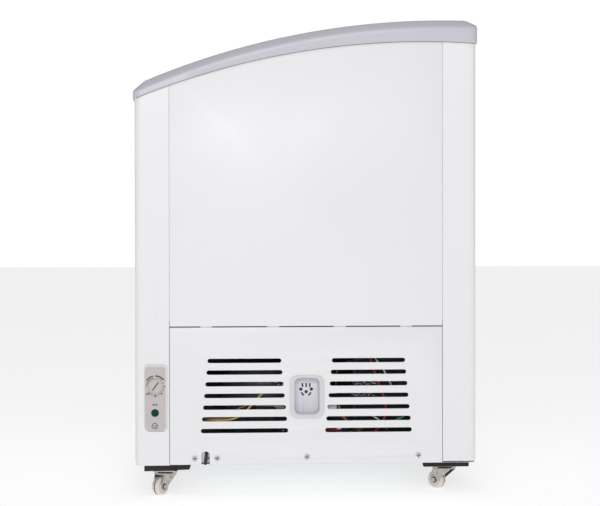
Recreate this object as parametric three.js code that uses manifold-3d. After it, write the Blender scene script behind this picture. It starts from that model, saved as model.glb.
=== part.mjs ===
// A retail display freezer: a chest with a curved top, two sliding curved glass lids and four casters.
//
// Millimetres, +Z up. The origin is on the floor, under the middle of the plan.
// +X is the machine end, -Y is the low customer side and +Y is the high back.

import * as THREE from 'three';
import { mergeVertices } from 'three/addons/utils/BufferGeometryUtils.js';
import Module from 'manifold-3d';

const wasm = await Module();
wasm.setup();

// ---------------------------------------------------------------- driving dimensions

const GAP = 0.3; // between pieces that touch
const SHEET = 1.2; // steel sheet

// Cabinet
const LENGTH = 1050; // over the top frame
const DEPTH = 630; // over the top frame
const OVERHANG = 3; // the top frame stands this far outside the panels
const BODY_X = LENGTH / 2 - OVERHANG;
const BODY_Y = DEPTH / 2 - OVERHANG;
const BODY_BOTTOM = 59;
const REAR_BOTTOM = 62.5; // the rear panel stops a little higher
const CORNER_RADIUS = 12;
const INSIDE_X = BODY_X - SHEET - GAP;
const INSIDE_Y = BODY_Y - SHEET - GAP;
const SEAM_Y = 250; // where the wrapped flanges meet the end panels
const SEAM_GAP = 0.8;
const UPPER_PANEL_BOTTOM = 311;
const COVER_TOP = 309;
const COVER_BOTTOM = 59.5;

// Two arcs in the YZ plane shape the top: the crest line of the frame and the lower edge of its skirt
const CREST = { y: 260, z: 871.2, radius: 1412 };
const SKIRT = { y: 221, z: 830.6, radius: 1392 };
const ARC_STEPS = 12;

// Top frame
const RAIL_WIDTH = 70;
const SIDE_BEVEL = 20; // width of the bevel along the front and the back
const SIDE_BEVEL_DROP = 9.5;
const END_BEVEL = 16;
const END_BEVEL_DROP = 14;
const RAIL_CORNER = 14;
const SKIRT_THICKNESS = OVERHANG - GAP;
const END_RAIL_INNER = LENGTH / 2 - RAIL_WIDTH;
const SIDE_RAIL_INNER = DEPTH / 2 - RAIL_WIDTH;
const FOAM_RISE = 6; // foam top above the skirt arc
const PANEL_RISE = FOAM_RISE + GAP + SHEET;
const RAIL_RISE = PANEL_RISE + GAP;
const LEG_DEPTH = 45; // how far the rails' inner legs hang below the crest arc

// Lids, as depths below the crest arc
const GLASS = 5;
const UPPER_LID_TOP = 12;
const LOWER_LID_TOP = 25;
const GROOVE_SLACK = 0.8;
const LID_REACH = 256; // half of the glass's depth, into the grooves
const GROOVE_REACH = 258;
const LID_OVERLAP = 15; // each lid passes the middle by this much
const LID_END_SLACK = 0.5;
const OUTER_TRIM_WIDTH = 40;
const INNER_TRIM_WIDTH = 18;
const TRIM_LAP = 13; // how far a trim covers the glass
const TRIM_WALL = 3.7; // trim above and below the glass
const PULL = { length: 110, inset: 4, width: 19, depth: 9 };

// Liner: a wide upper part, a ledge, and a narrower well with a step over the machine compartment
const WALL = 60;
const LINER_X = BODY_X - WALL;
const LINER_Y = 262;
const LEDGE = 12;
const LEDGE_Z = 690;
const WELL_FLOOR = 121;
const STEP_X = 170;
const STEP_FLOOR = 385;
const LINER_CORNER = 25;

// Machine compartment
const BULKHEAD_X = 233;
const CEILING_Z = 331;

// Machine cover
const COVER_RETURN = 12;
const SLOT = { rows: 7, topZ: 248.1, pitch: 21.25, topLength: 134.3, bottomLength: 159, height: 7.9 };
const SLOT_GROUP_Y = 113.4;
const COVER_SCREWS = [[-204, 70.7], [-163.5, 70.8], [0.3, 71.9], [205, 73.2]]; // Y, Z
const CABLE_NOTCH = { y: -184.3, halfWidth: 7.5, top: 83.3 };

// Plug dock
const DOCK = { y: 0.8, z: 181.6, width: 62.8, height: 79.6, corner: 15, openZ: 183, openWidth: 45.4,
  openHeight: 66.6, openCorner: 10.5, wall: 1.8, depth: 32, rim: 1.6 };

// Controls on the front panel's flange
const CONTROL = { y: -274, z: 181.7, width: 42.2, height: 120, corner: 7.5, thickness: 2 };
const DIAL = { y: -275.4, z: 202.2, radius: 13.2, thickness: 2.3, shaft: 3, shaftEnd: 500 };
const THERMOSTAT = { width: 30, height: 34, back: 470, front: 498 };
const LAMP = { y: -275.9, z: 154.4, radius: 7, stem: 5, stemEnd: 494 };
const CONTROL_SCREW = { y: -276.3, z: 130.5, radius: 4.2 };

// Baskets
const BASKET = { length: 239, halfDepth: 242, bottom: 520, top: 700, wall: 3, lip: 17, end: 440 };

// Machine
const COMPRESSOR = { x: 385, y: -70, radius: 76, ovality: 1.15 };
const FAN = { y: 185, z: 175, radius: 74, hub: 18 };
const CONDENSER = { x0: 446, x1: 490, y0: 90, y1: 280, z0: 80, z1: 270 };
const COIL = { turns: 3, pitch: 75, z: 430, radius: 4, corner: 30 };

// Skids and casters
const SKID = { top: 58.7, bottom: 46.5, topWidth: 86, bottomWidth: 80 };
const FRONT_SKID = { y: -253, outerEnd: 512, innerEnd: 494 }; // its ends slant in towards the middle
const REAR_SKID = { y: 261, outerEnd: 486, innerEnd: 486 };
const CASTER = { plate: 45, plateTop: 46.2, plateThickness: 2, raceBottom: 42, forkTop: 41.7,
  forkThickness: 1.9, trail: 15, wheelRadius: 17, wheelHalfWidth: 8, legGap: 1.2, legThickness: 1.8, axle: 3,
  kingPin: 4 };
const CASTERS = [
  { name: 'front_right', x: 482, y: -258, heading: -40 },
  { name: 'rear_right', x: 450, y: 262, heading: -130 },
  { name: 'front_left', x: -482, y: -258, heading: 155 },
  { name: 'rear_left', x: -450, y: 262, heading: 25 },
];

// ---------------------------------------------------------------- finishes

const finish = (color, roughness, metalness) => ({ color, roughness, metalness });
const FINISH = {
  panel: finish(0xe9e9ea, 0.35, 0.1),
  liner: finish(0xeef0f1, 0.4, 0.1),
  foam: finish(0xe8dfae, 0.9, 0),
  galvanised: finish(0xb4b8bb, 0.45, 0.8),
  trim: finish(0xc9c8d2, 0.45, 0),
  lidTrim: finish(0xb9b8c2, 0.45, 0),
  glass: finish(0xdcebe6, 0.05, 0),
  basket: finish(0xf4f4f4, 0.4, 0),
  black: finish(0x17171a, 0.5, 0),
  aluminium: finish(0xc3c6c9, 0.4, 0.9),
  copper: finish(0xb87345, 0.35, 0.9),
  zinc: finish(0xc2c3c2, 0.35, 0.9),
  control: finish(0xc8c3c2, 0.5, 0),
  lamp: finish(0x0f4640, 0.2, 0),
  dock: finish(0xd2d1d6, 0.45, 0),
  skid: finish(0x2a2a30, 0.6, 0),
  wheel: finish(0xe2dcd6, 0.5, 0),
  wire: finish(0xc8a238, 0.5, 0),
};

// ---------------------------------------------------------------- solids: joining and cutting

function toSolid(geometry) {
  const bare = geometry.clone();
  bare.deleteAttribute('normal');
  bare.deleteAttribute('uv');
  const merged = mergeVertices(bare, 1e-3);
  const corners = merged.index.array;
  const kept = [];
  for (let i = 0; i < corners.length; i += 3) {
    const [a, b, c] = [corners[i], corners[i + 1], corners[i + 2]];
    if (a !== b && b !== c && c !== a) kept.push(a, b, c);
  }
  const vertProperties = Float32Array.from(merged.attributes.position.array);
  const build = (triangles) => new wasm.Manifold(
    new wasm.Mesh({ numProp: 3, vertProperties, triVerts: Uint32Array.from(triangles) }));
  const body = build(kept);
  return body.volume() > 0 ? body : build(kept.reverse());
}

function toGeometry(body) {
  const mesh = body.getMesh();
  const geometry = new THREE.BufferGeometry();
  geometry.setAttribute('position', new THREE.BufferAttribute(Float32Array.from(mesh.vertProperties), 3));
  geometry.setIndex(new THREE.BufferAttribute(Uint32Array.from(mesh.triVerts), 1));
  return geometry;
}

function combine(operation, first, others) {
  let body = toSolid(first);
  for (const other of others) {
    body = body[operation](toSolid(other));
  }
  return toGeometry(body);
}

const join = (first, ...others) => combine('add', first, others);
const cut = (first, ...others) => combine('subtract', first, others);
const overlap = (first, ...others) => combine('intersect', first, others);

// ---------------------------------------------------------------- basic shapes

function block(x0, x1, y0, y1, z0, z1) {
  const box = new THREE.BoxGeometry(x1 - x0, y1 - y0, z1 - z0);
  return box.translate((x0 + x1) / 2, (y0 + y1) / 2, (z0 + z1) / 2);
}

function prism(shape, depth, right, up, outward, curveSegments) {
  const geometry = new THREE.ExtrudeGeometry(shape, { depth, bevelEnabled: false, curveSegments });
  return geometry.applyMatrix4(new THREE.Matrix4().makeBasis(right, up, outward));
}

const AXIS_X = new THREE.Vector3(1, 0, 0);
const AXIS_Y = new THREE.Vector3(0, 1, 0);
const AXIS_Z = new THREE.Vector3(0, 0, 1);

// An outline in (Y, Z), drawn out along X
function alongX(shape, x0, x1, curveSegments = 2) {
  return prism(shape, x1 - x0, AXIS_Y, AXIS_Z, AXIS_X, curveSegments).translate(x0, 0, 0);
}

// An outline in (X, Z), drawn out along Y
function alongY(shape, y0, y1, curveSegments = 2) {
  return prism(shape, y1 - y0, AXIS_X, AXIS_Z, AXIS_Y.clone().negate(), curveSegments).translate(0, y1, 0);
}

// An outline in (X, Y), drawn out along Z
function alongZ(shape, z0, z1, curveSegments = 2) {
  return prism(shape, z1 - z0, AXIS_X, AXIS_Y, AXIS_Z, curveSegments).translate(0, 0, z0);
}

function polygon(points) {
  return new THREE.Shape(points.map(([u, v]) => new THREE.Vector2(u, v)));
}

function roundedRectangle(u0, u1, v0, v1, radius) {
  const shape = new THREE.Shape();
  shape.absarc(u1 - radius, v0 + radius, radius, -Math.PI / 2, 0, false);
  shape.absarc(u1 - radius, v1 - radius, radius, 0, Math.PI / 2, false);
  shape.absarc(u0 + radius, v1 - radius, radius, Math.PI / 2, Math.PI, false);
  shape.absarc(u0 + radius, v0 + radius, radius, Math.PI, 1.5 * Math.PI, false);
  return shape;
}

function centredRectangle(u, v, width, height, radius) {
  return roundedRectangle(u - width / 2, u + width / 2, v - height / 2, v + height / 2, radius);
}

// A straight slot with round ends, from one centre to the other
function stadium(u0, v0, u1, v1, radius) {
  const turn = Math.atan2(v1 - v0, u1 - u0);
  const shape = new THREE.Shape();
  shape.absarc(u1, v1, radius, turn - Math.PI / 2, turn + Math.PI / 2, false);
  shape.absarc(u0, v0, radius, turn + Math.PI / 2, turn + 1.5 * Math.PI, false);
  return shape;
}

function rodX(radius, x0, x1, y, z, sides = 16) {
  const rod = new THREE.CylinderGeometry(radius, radius, x1 - x0, sides);
  return rod.rotateZ(-Math.PI / 2).translate((x0 + x1) / 2, y, z);
}

function rodZ(radius, x, y, z0, z1, sides = 16) {
  const rod = new THREE.CylinderGeometry(radius, radius, z1 - z0, sides);
  return rod.rotateX(Math.PI / 2).translate(x, y, (z0 + z1) / 2);
}

// A profile of [radius, height] points turned about Z, or about X
function turnedZ(profile, sides) {
  const points = profile.map(([radius, height]) => new THREE.Vector2(radius, height));
  return new THREE.LatheGeometry(points, sides).rotateX(Math.PI / 2);
}

function turnedX(profile, sides) {
  return turnedZ(profile, sides).rotateY(Math.PI / 2);
}

function tube(points, radius, steps, sides = 8) {
  const path = new THREE.CatmullRomCurve3(points.map((point) => new THREE.Vector3(...point)));
  const section = new THREE.Shape().absarc(0, 0, radius, 0, 2 * Math.PI, false);
  return new THREE.ExtrudeGeometry(section, { steps, extrudePath: path, curveSegments: sides / 2 });
}

// A tube through given points, with one ring of corners at each point
function sweptAlong(points, radius, sides) {
  const rings = points.map((point, i) => {
    const before = points[Math.max(i - 1, 0)];
    const after = points[Math.min(i + 1, points.length - 1)];
    const forward = after.clone().sub(before).normalize();
    const across = new THREE.Vector3().crossVectors(forward, AXIS_Z).normalize();
    const up = new THREE.Vector3().crossVectors(across, forward);
    const ring = [];
    for (let side = 0; side < sides; side += 1) {
      const angle = side * 2 * Math.PI / sides;
      ring.push(point.clone().addScaledVector(across, radius * Math.cos(angle))
        .addScaledVector(up, radius * Math.sin(angle)));
    }
    return ring;
  });
  const positions = rings.flat().flatMap((corner) => corner.toArray());
  const triangles = [];
  for (let ring = 0; ring + 1 < rings.length; ring += 1) {
    for (let i = 0; i < sides; i += 1) {
      const a = ring * sides + i;
      const b = ring * sides + ((i + 1) % sides);
      triangles.push(a, b, b + sides, a, b + sides, a + sides);
    }
  }
  const last = (rings.length - 1) * sides;
  for (let i = 1; i + 1 < sides; i += 1) {
    triangles.push(0, i + 1, i, last, last + i, last + i + 1);
  }
  const geometry = new THREE.BufferGeometry();
  geometry.setAttribute('position', new THREE.Float32BufferAttribute(positions, 3));
  geometry.setIndex(triangles);
  return geometry;
}

// Rings of points in planes of constant Y, joined in order and capped
function loftAlongY(rings) {
  const count = rings[0].length;
  const positions = rings.flat().flatMap(([x, y, z]) => [x, y, z]);
  const triangles = [];
  for (let ring = 0; ring + 1 < rings.length; ring += 1) {
    for (let i = 0; i < count; i += 1) {
      const a = ring * count + i;
      const b = ring * count + ((i + 1) % count);
      triangles.push(a, b, b + count, a, b + count, a + count);
    }
  }
  const contour = rings[0].map(([x, , z]) => new THREE.Vector2(x, z));
  const last = (rings.length - 1) * count;
  for (const [a, b, c] of THREE.ShapeUtils.triangulateShape(contour, [])) {
    triangles.push(a, c, b, last + a, last + b, last + c);
  }
  const geometry = new THREE.BufferGeometry();
  geometry.setAttribute('position', new THREE.Float32BufferAttribute(positions, 3));
  geometry.setIndex(triangles);
  return geometry;
}

// ---------------------------------------------------------------- the curved top

function arcZ(arc, y, rise = 0) {
  return arc.z - arc.radius + Math.sqrt((arc.radius + rise) ** 2 - (y - arc.y) ** 2);
}

function arcPoints(arc, y0, y1, rise) {
  const points = [];
  for (let i = 0; i <= ARC_STEPS; i += 1) {
    const y = THREE.MathUtils.lerp(y0, y1, i / ARC_STEPS);
    points.push([y, arcZ(arc, y, rise)]);
  }
  return points;
}

// The material between two depths under an arc
function arcBand(arc, low, high, y0, y1, x0, x1) {
  return alongX(polygon([...arcPoints(arc, y0, y1, low), ...arcPoints(arc, y1, y0, high)]), x0, x1);
}

// Everything under the skirt arc, raised by a distance
function underSkirt(rise, bottom, x0, x1) {
  const y = DEPTH / 2 + 10;
  return alongX(polygon([[-y, bottom], [y, bottom], ...arcPoints(SKIRT, y, -y, rise)]), x0, x1);
}

// Height of the frame's top, with its bevel along the front and the back
function frameTop(y) {
  const intoBevel = Math.max(0, Math.abs(y) - (DEPTH / 2 - SIDE_BEVEL));
  return arcZ(CREST, y) - SIDE_BEVEL_DROP * intoBevel / SIDE_BEVEL;
}

// ---------------------------------------------------------------- cabinet shell

function wrappedSheet(side, bottom) {
  const radius = CORNER_RADIUS;
  const cornerX = BODY_X - radius;
  const cornerY = -(BODY_Y - radius);
  const right = Math.PI * 2;
  const down = Math.PI * 1.5;
  const left = Math.PI;
  const shape = new THREE.Shape();
  shape.moveTo(-BODY_X, -SEAM_Y);
  shape.absarc(-cornerX, cornerY, radius, left, down, false);
  shape.absarc(cornerX, cornerY, radius, down, right, false);
  shape.lineTo(BODY_X, -SEAM_Y);
  shape.lineTo(BODY_X - SHEET, -SEAM_Y);
  shape.absarc(cornerX, cornerY, radius - SHEET, right, down, true);
  shape.absarc(-cornerX, cornerY, radius - SHEET, down, left, true);
  shape.lineTo(-BODY_X + SHEET, -SEAM_Y);
  const sheet = alongZ(shape, bottom, CREST.z).scale(1, -side, 1);
  return overlap(sheet, underSkirt(PANEL_RISE, 0, -LENGTH, LENGTH));
}

function frontPanel() {
  const hole = (spot, radius) => rodX(radius, BODY_X - 5, BODY_X + 5, spot.y, spot.z, 12);
  const bores = [hole(DIAL, DIAL.shaft + 1), hole(LAMP, LAMP.stem + 0.5), hole(CONTROL_SCREW, 2.4)];
  return cut(wrappedSheet(-1, BODY_BOTTOM), ...bores);
}

function endPanel(side, bottom) {
  const edge = SEAM_Y - SEAM_GAP;
  const x0 = side > 0 ? BODY_X - SHEET : -BODY_X;
  const sheet = block(x0, x0 + SHEET, -edge, edge, bottom, CREST.z);
  return overlap(sheet, underSkirt(PANEL_RISE, 0, -LENGTH, LENGTH));
}

function ventSlots() {
  const slots = [];
  for (let row = 0; row < SLOT.rows; row += 1) {
    const z = SLOT.topZ - row * SLOT.pitch;
    const length = THREE.MathUtils.lerp(SLOT.topLength, SLOT.bottomLength, row / (SLOT.rows - 1));
    const half = (length - SLOT.height) / 2;
    for (const y of [-SLOT_GROUP_Y, SLOT_GROUP_Y]) {
      const outline = stadium(y - half, z, y + half, z, SLOT.height / 2);
      slots.push(alongX(outline, BODY_X - 5, BODY_X + 5));
    }
  }
  return slots;
}

function cableNotch(x0, x1) {
  const { y, halfWidth, top } = CABLE_NOTCH;
  return alongX(stadium(y, BODY_BOTTOM - 10, y, top - halfWidth, halfWidth), x0, x1);
}

function screwHoles(x0, x1) {
  return COVER_SCREWS.map(([y, z]) => rodX(2.4, x0, x1, y, z, 10));
}

function machineCover() {
  const edge = SEAM_Y - SEAM_GAP;
  const outer = block(BODY_X - COVER_RETURN, BODY_X, -edge, edge, COVER_BOTTOM, COVER_TOP);
  const inner = block(0, BODY_X - SHEET, -edge + SHEET, edge - SHEET, 0, COVER_TOP - SHEET);
  const overBase = block(0, BODY_X - SHEET, -DEPTH, DEPTH, 0, BODY_BOTTOM + SHEET + 0.8);
  const dockWidth = DOCK.openWidth + 2 * (DOCK.wall + GAP);
  const dockHeight = DOCK.openHeight + 2 * (DOCK.wall + GAP);
  const dockCorner = DOCK.openCorner + DOCK.wall + GAP;
  const dockHole = centredRectangle(DOCK.y, DOCK.openZ, dockWidth, dockHeight, dockCorner);
  return cut(outer, inner, overBase, alongX(dockHole, BODY_X - 5, BODY_X + 5, 3), ...ventSlots(),
    cableNotch(BODY_X - 5, BODY_X + 5), ...screwHoles(BODY_X - 5, BODY_X + 5));
}

// The space inside the liner, grown by the sheet's thickness for its outside
function linerSpace(grow) {
  const x = LINER_X + grow;
  const y = LINER_Y + grow;
  const upper = alongZ(roundedRectangle(-x, x, -y, y, LINER_CORNER + grow), LEDGE_Z - grow, CREST.z + 20);
  const well = alongZ(roundedRectangle(-x + LEDGE, x - LEDGE, -y + LEDGE, y - LEDGE, LINER_CORNER + grow),
    WELL_FLOOR - grow, CREST.z);
  const step = block(STEP_X + grow, LENGTH, -DEPTH, DEPTH, 0, STEP_FLOOR - grow);
  return join(upper, cut(well, step));
}

// Everything inside the outer panels, above a height
function insidePanels(bottom) {
  const outline = roundedRectangle(-INSIDE_X, INSIDE_X, -INSIDE_Y, INSIDE_Y, CORNER_RADIUS - SHEET);
  return alongZ(outline, bottom, CREST.z);
}

function liner() {
  const sheet = arcBand(SKIRT, FOAM_RISE + GAP, PANEL_RISE, -DEPTH / 2, DEPTH / 2, -LENGTH, LENGTH);
  const flange = overlap(insidePanels(0), sheet);
  const tub = overlap(linerSpace(SHEET), underSkirt(PANEL_RISE, 0, -LENGTH, LENGTH));
  return cut(join(tub, flange), linerSpace(0));
}

function insulationFoam() {
  const whole = overlap(insidePanels(BODY_BOTTOM + SHEET + GAP), underSkirt(FOAM_RISE, 0, -LENGTH, LENGTH));
  const compartment = block(BULKHEAD_X - SHEET - GAP, LENGTH, -DEPTH, DEPTH, 0, CEILING_Z + GAP);
  const coilX = LINER_X - LEDGE + SHEET + 2 * COIL.radius + 2;
  const coilY = LINER_Y - LEDGE + SHEET + 2 * COIL.radius + 2;
  const coilOutline = roundedRectangle(-coilX, coilX, -coilY, coilY, COIL.corner + COIL.radius);
  const coilTop = COIL.z + COIL.turns * COIL.pitch + 2 * COIL.radius;
  const coilSpace = alongZ(coilOutline, COIL.z - 2 * COIL.radius, coilTop);
  return cut(whole, compartment, linerSpace(SHEET + GAP), coilSpace);
}

// One bent sheet: the bottom, the bulkhead and the compartment's ceiling
function bottomPlate() {
  const end = INSIDE_X;
  const outline = polygon([[-end, BODY_BOTTOM], [BULKHEAD_X, BODY_BOTTOM], [BULKHEAD_X, CEILING_Z - SHEET],
    [end, CEILING_Z - SHEET], [end, CEILING_Z], [BULKHEAD_X - SHEET, CEILING_Z],
    [BULKHEAD_X - SHEET, BODY_BOTTOM + SHEET], [-end, BODY_BOTTOM + SHEET]]);
  return overlap(alongY(outline, -INSIDE_Y, INSIDE_Y), insidePanels(0));
}

function compressorBase() {
  const x0 = BULKHEAD_X + 1;
  const x1 = INSIDE_X;
  const halfDepth = SEAM_Y - SEAM_GAP - SHEET - 1;
  const lipTop = BODY_BOTTOM + 26;
  const plate = block(x0, x1, -INSIDE_Y, INSIDE_Y, BODY_BOTTOM, BODY_BOTTOM + SHEET);
  const floor = overlap(plate, insidePanels(0));
  const lip = block(x1 - SHEET, x1, -halfDepth, halfDepth, BODY_BOTTOM, lipTop);
  const cordExit = block(x1 - 9, x1 + 1, CABLE_NOTCH.y - 5, CABLE_NOTCH.y + 5, 0, BODY_BOTTOM + 10);
  return cut(join(floor, lip), cableNotch(x1 - 5, x1 + 5), cordExit,
    ...screwHoles(x1 - 5, x1 + 5));
}

// ---------------------------------------------------------------- top frame

function lidGroove(depthTop, y0, y1) {
  const low = -depthTop - GLASS - GROOVE_SLACK;
  return arcBand(CREST, low, -depthTop + GROOVE_SLACK, y0, y1, -LENGTH, LENGTH);
}

// Front (side -1) or rear (side +1) rail: skirt, beveled top, and a grooved leg inside the liner
function sideRail(side) {
  const outer = side * DEPTH / 2;
  const crest = side * (DEPTH / 2 - SIDE_BEVEL);
  const inner = side * SIDE_RAIL_INNER;
  const legOuter = side * (LINER_Y - GAP);
  const skirtInner = side * (DEPTH / 2 - SKIRT_THICKNESS);
  const legBottom = arcZ(CREST, inner, -LEG_DEPTH);
  const onTop = [crest, (crest + inner) / 2, inner].map((y) => [y, frameTop(y)]);
  const under = [inner, (inner + skirtInner) / 2, skirtInner].map((y) => [y, arcZ(SKIRT, y, RAIL_RISE)]);
  const cap = polygon([[outer, arcZ(SKIRT, outer)], [outer, frameTop(outer)], ...onTop, ...under,
    [skirtInner, arcZ(SKIRT, skirtInner)]]);
  const leg = polygon([[inner, legBottom], [legOuter, legBottom], [legOuter, frameTop(legOuter) - 3],
    [inner, frameTop(inner) - 3]]);
  const half = END_RAIL_INNER - GAP;
  const whole = join(alongX(cap, -half, half), overlap(alongX(leg, -half, half), linerSpace(-GAP)));
  const grooveFrom = side > 0 ? 0 : -GROOVE_REACH;
  const grooveTo = side > 0 ? GROOVE_REACH : 0;
  return cut(whole, lidGroove(UPPER_LID_TOP, grooveFrom, grooveTo),
    lidGroove(LOWER_LID_TOP, grooveFrom, grooveTo));
}

// An end rail follows the curve of the top from the front corner to the back one
function endRail(side) {
  const outer = LENGTH / 2;
  const crest = outer - END_BEVEL;
  const skirtInner = outer - SKIRT_THICKNESS;
  const bevelStart = DEPTH / 2 - SIDE_BEVEL;
  const stations = [-DEPTH / 2];
  for (let i = 0; i <= ARC_STEPS; i += 1) {
    stations.push(THREE.MathUtils.lerp(-bevelStart, bevelStart, i / ARC_STEPS));
  }
  stations.push(DEPTH / 2);
  const rings = stations.map((y) => {
    const top = frameTop(y);
    const under = arcZ(SKIRT, y, RAIL_RISE);
    const skirt = arcZ(SKIRT, y);
    const shoulder = Math.max(top - END_BEVEL_DROP, under + 1);
    return [[END_RAIL_INNER, y, under], [skirtInner, y, under], [skirtInner, y, skirt], [outer, y, skirt],
      [outer, y, shoulder], [crest, y, top], [END_RAIL_INNER, y, top]];
  });
  const legY = LINER_Y - GAP;
  const legBand = arcBand(CREST, -LEG_DEPTH, -3, -legY, legY, END_RAIL_INNER, LINER_X);
  const leg = overlap(legBand, linerSpace(-GAP));
  const plan = alongZ(roundedRectangle(-outer, outer, -DEPTH / 2, DEPTH / 2, RAIL_CORNER), 0, CREST.z + 10);
  const frontSkirt = endRailSkirt(-1);
  const rearSkirt = endRailSkirt(1);
  return overlap(join(loftAlongY(rings), leg, frontSkirt, rearSkirt), plan).scale(side, 1, 1);
}

// The stretch of skirt that carries on round the corner to the front or rear rail
function endRailSkirt(side) {
  const outer = side * DEPTH / 2;
  const inner = side * (DEPTH / 2 - SKIRT_THICKNESS);
  const top = frameTop(outer) - 1;
  const outline = polygon([[outer, arcZ(SKIRT, outer)], [outer, top], [inner, top],
    [inner, arcZ(SKIRT, inner)]]);
  return alongX(outline, END_RAIL_INNER, LENGTH / 2 - 2);
}

// ---------------------------------------------------------------- lids

function lidSpan(side) {
  const outer = END_RAIL_INNER - LID_END_SLACK;
  return side < 0 ? [-outer, LID_OVERLAP] : [-LID_OVERLAP, outer];
}

function lidGlass(side, depthTop) {
  const [x0, x1] = lidSpan(side);
  const lowTrim = side < 0 ? OUTER_TRIM_WIDTH : INNER_TRIM_WIDTH;
  const highTrim = side < 0 ? INNER_TRIM_WIDTH : OUTER_TRIM_WIDTH;
  return arcBand(CREST, -depthTop - GLASS, -depthTop, -LID_REACH, LID_REACH,
    x0 + lowTrim - TRIM_LAP, x1 - highTrim + TRIM_LAP);
}

function lidTrim(x0, x1, depthTop, glassSide, above) {
  const reach = SIDE_RAIL_INNER - 2;
  const body = arcBand(CREST, -depthTop - GLASS - TRIM_WALL, -depthTop + above, -reach, reach, x0, x1);
  const slotFrom = glassSide > 0 ? x1 - TRIM_LAP - GAP : x0 - 5;
  const slotTo = glassSide > 0 ? x1 + 5 : x0 + TRIM_LAP + GAP;
  return cut(body, arcBand(CREST, -depthTop - GLASS - GAP, -depthTop + GAP, -LID_REACH, LID_REACH,
    slotFrom, slotTo));
}

// The outer trim is wider and has a finger pull sunk into it
function outerTrim(side, depthTop, above) {
  const [x0, x1] = lidSpan(side);
  const from = side < 0 ? x0 : x1 - OUTER_TRIM_WIDTH;
  const to = side < 0 ? x0 + OUTER_TRIM_WIDTH : x1;
  const body = lidTrim(from, to, depthTop, -side, above);
  const pullFrom = side < 0 ? x0 + PULL.inset : x1 - PULL.inset - PULL.width;
  const pull = arcBand(CREST, -depthTop + above - PULL.depth, -depthTop + above + 5,
    -PULL.length / 2, PULL.length / 2, pullFrom, pullFrom + PULL.width);
  return cut(body, pull);
}

function innerTrim(side, depthTop) {
  const [x0, x1] = lidSpan(side);
  const from = side < 0 ? x1 - INNER_TRIM_WIDTH : x0;
  return lidTrim(from, from + INNER_TRIM_WIDTH, depthTop, side, TRIM_WALL);
}

// ---------------------------------------------------------------- baskets

function basket(side) {
  const { length, halfDepth, bottom, top, wall, lip, end } = BASKET;
  const x0 = side < 0 ? -end : end - length;
  const x1 = x0 + length;
  const outer = block(x0, x1, -halfDepth, halfDepth, bottom, top);
  const inner = block(x0 + wall, x1 - wall, -halfDepth + wall, halfDepth - wall, bottom + wall, top + 5);
  const lipZ = LEDGE_Z + 0.5;
  const lips = block(x0, x1, -halfDepth - lip, halfDepth + lip, lipZ, lipZ + wall);
  return cut(join(outer, lips), inner);
}

// ---------------------------------------------------------------- machine compartment

function compressor() {
  const { x, y, radius, ovality } = COMPRESSOR;
  const shell = turnedZ([[0, 84], [52, 84], [70, 94], [radius, 150], [radius + 4, 151], [radius + 4, 157],
    [radius, 158], [73, 208], [58, 234], [0, 247]], 20);
  shell.scale(1, ovality, 1).translate(x, y, 0);
  const feet = block(x - 62, x + 62, y - 92, y + 92, 80, 85);
  const pads = [];
  for (const padX of [x - 50, x + 50]) {
    for (const padY of [y - 80, y + 80]) {
      pads.push(rodZ(11, padX, padY, BODY_BOTTOM + SHEET + GAP, 82, 8));
    }
  }
  return join(shell, feet, ...pads);
}

function terminalCover() {
  const face = COMPRESSOR.x + COMPRESSOR.radius + 4 + GAP;
  const outline = centredRectangle(COMPRESSOR.y - 12, 128, 58, 64, 8);
  return alongX(outline, face, face + 21);
}

function condenser() {
  const { x0, x1, y0, y1, z0, z1 } = CONDENSER;
  const core = block(x0, x1, y0, y1, z0 + 2, z1 - 2);
  const plates = [y0, y1 - SHEET].map((y) => block(x0 - 1, x1 + 1, y, y + SHEET, z0 - 18, z1 + 1));
  const inlet = new THREE.CylinderGeometry(4, 4, 12, 8).translate(x0 + 20, y0 - 5, z1 - 30);
  return join(core, ...plates, inlet);
}

function fanShroud() {
  const { x0, y0, y1 } = CONDENSER;
  const { y, z, radius } = FAN;
  const face = x0 - 1 - GAP;
  const ring = radius + 6;
  const half = (y1 - y0) / 2 - 4;
  const plate = block(face - 2.5, face, y - half, y + half, z - half, z + half);
  const collar = rodX(ring + 2.5, face - 30, face - 1, y, z, 28);
  const strapX = face - 50;
  const strap = block(strapX, strapX + 3, y - half, y + half, z - 7, z + 7);
  const legs = [y - half, y + half - 3].map((legY) => block(strapX, face, legY, legY + 3, z - 7, z + 7));
  const opening = rodX(ring, face - 40, face + 5, y, z, 28);
  const motorHole = rodX(6, strapX - 5, strapX + 5, y, z, 12);
  return cut(join(cut(join(plate, collar), opening), strap, ...legs), motorHole);
}

function fanMotor() {
  const strapX = CONDENSER.x0 - 1 - GAP - 50;
  const profile = [[0, strapX - 52], [30, strapX - 52], [34, strapX - 46], [34, strapX - 10],
    [28, strapX - GAP], [4, strapX - GAP], [4, strapX + 18], [0, strapX + 18]];
  return turnedX(profile, 16).translate(0, FAN.y, FAN.z);
}

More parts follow.
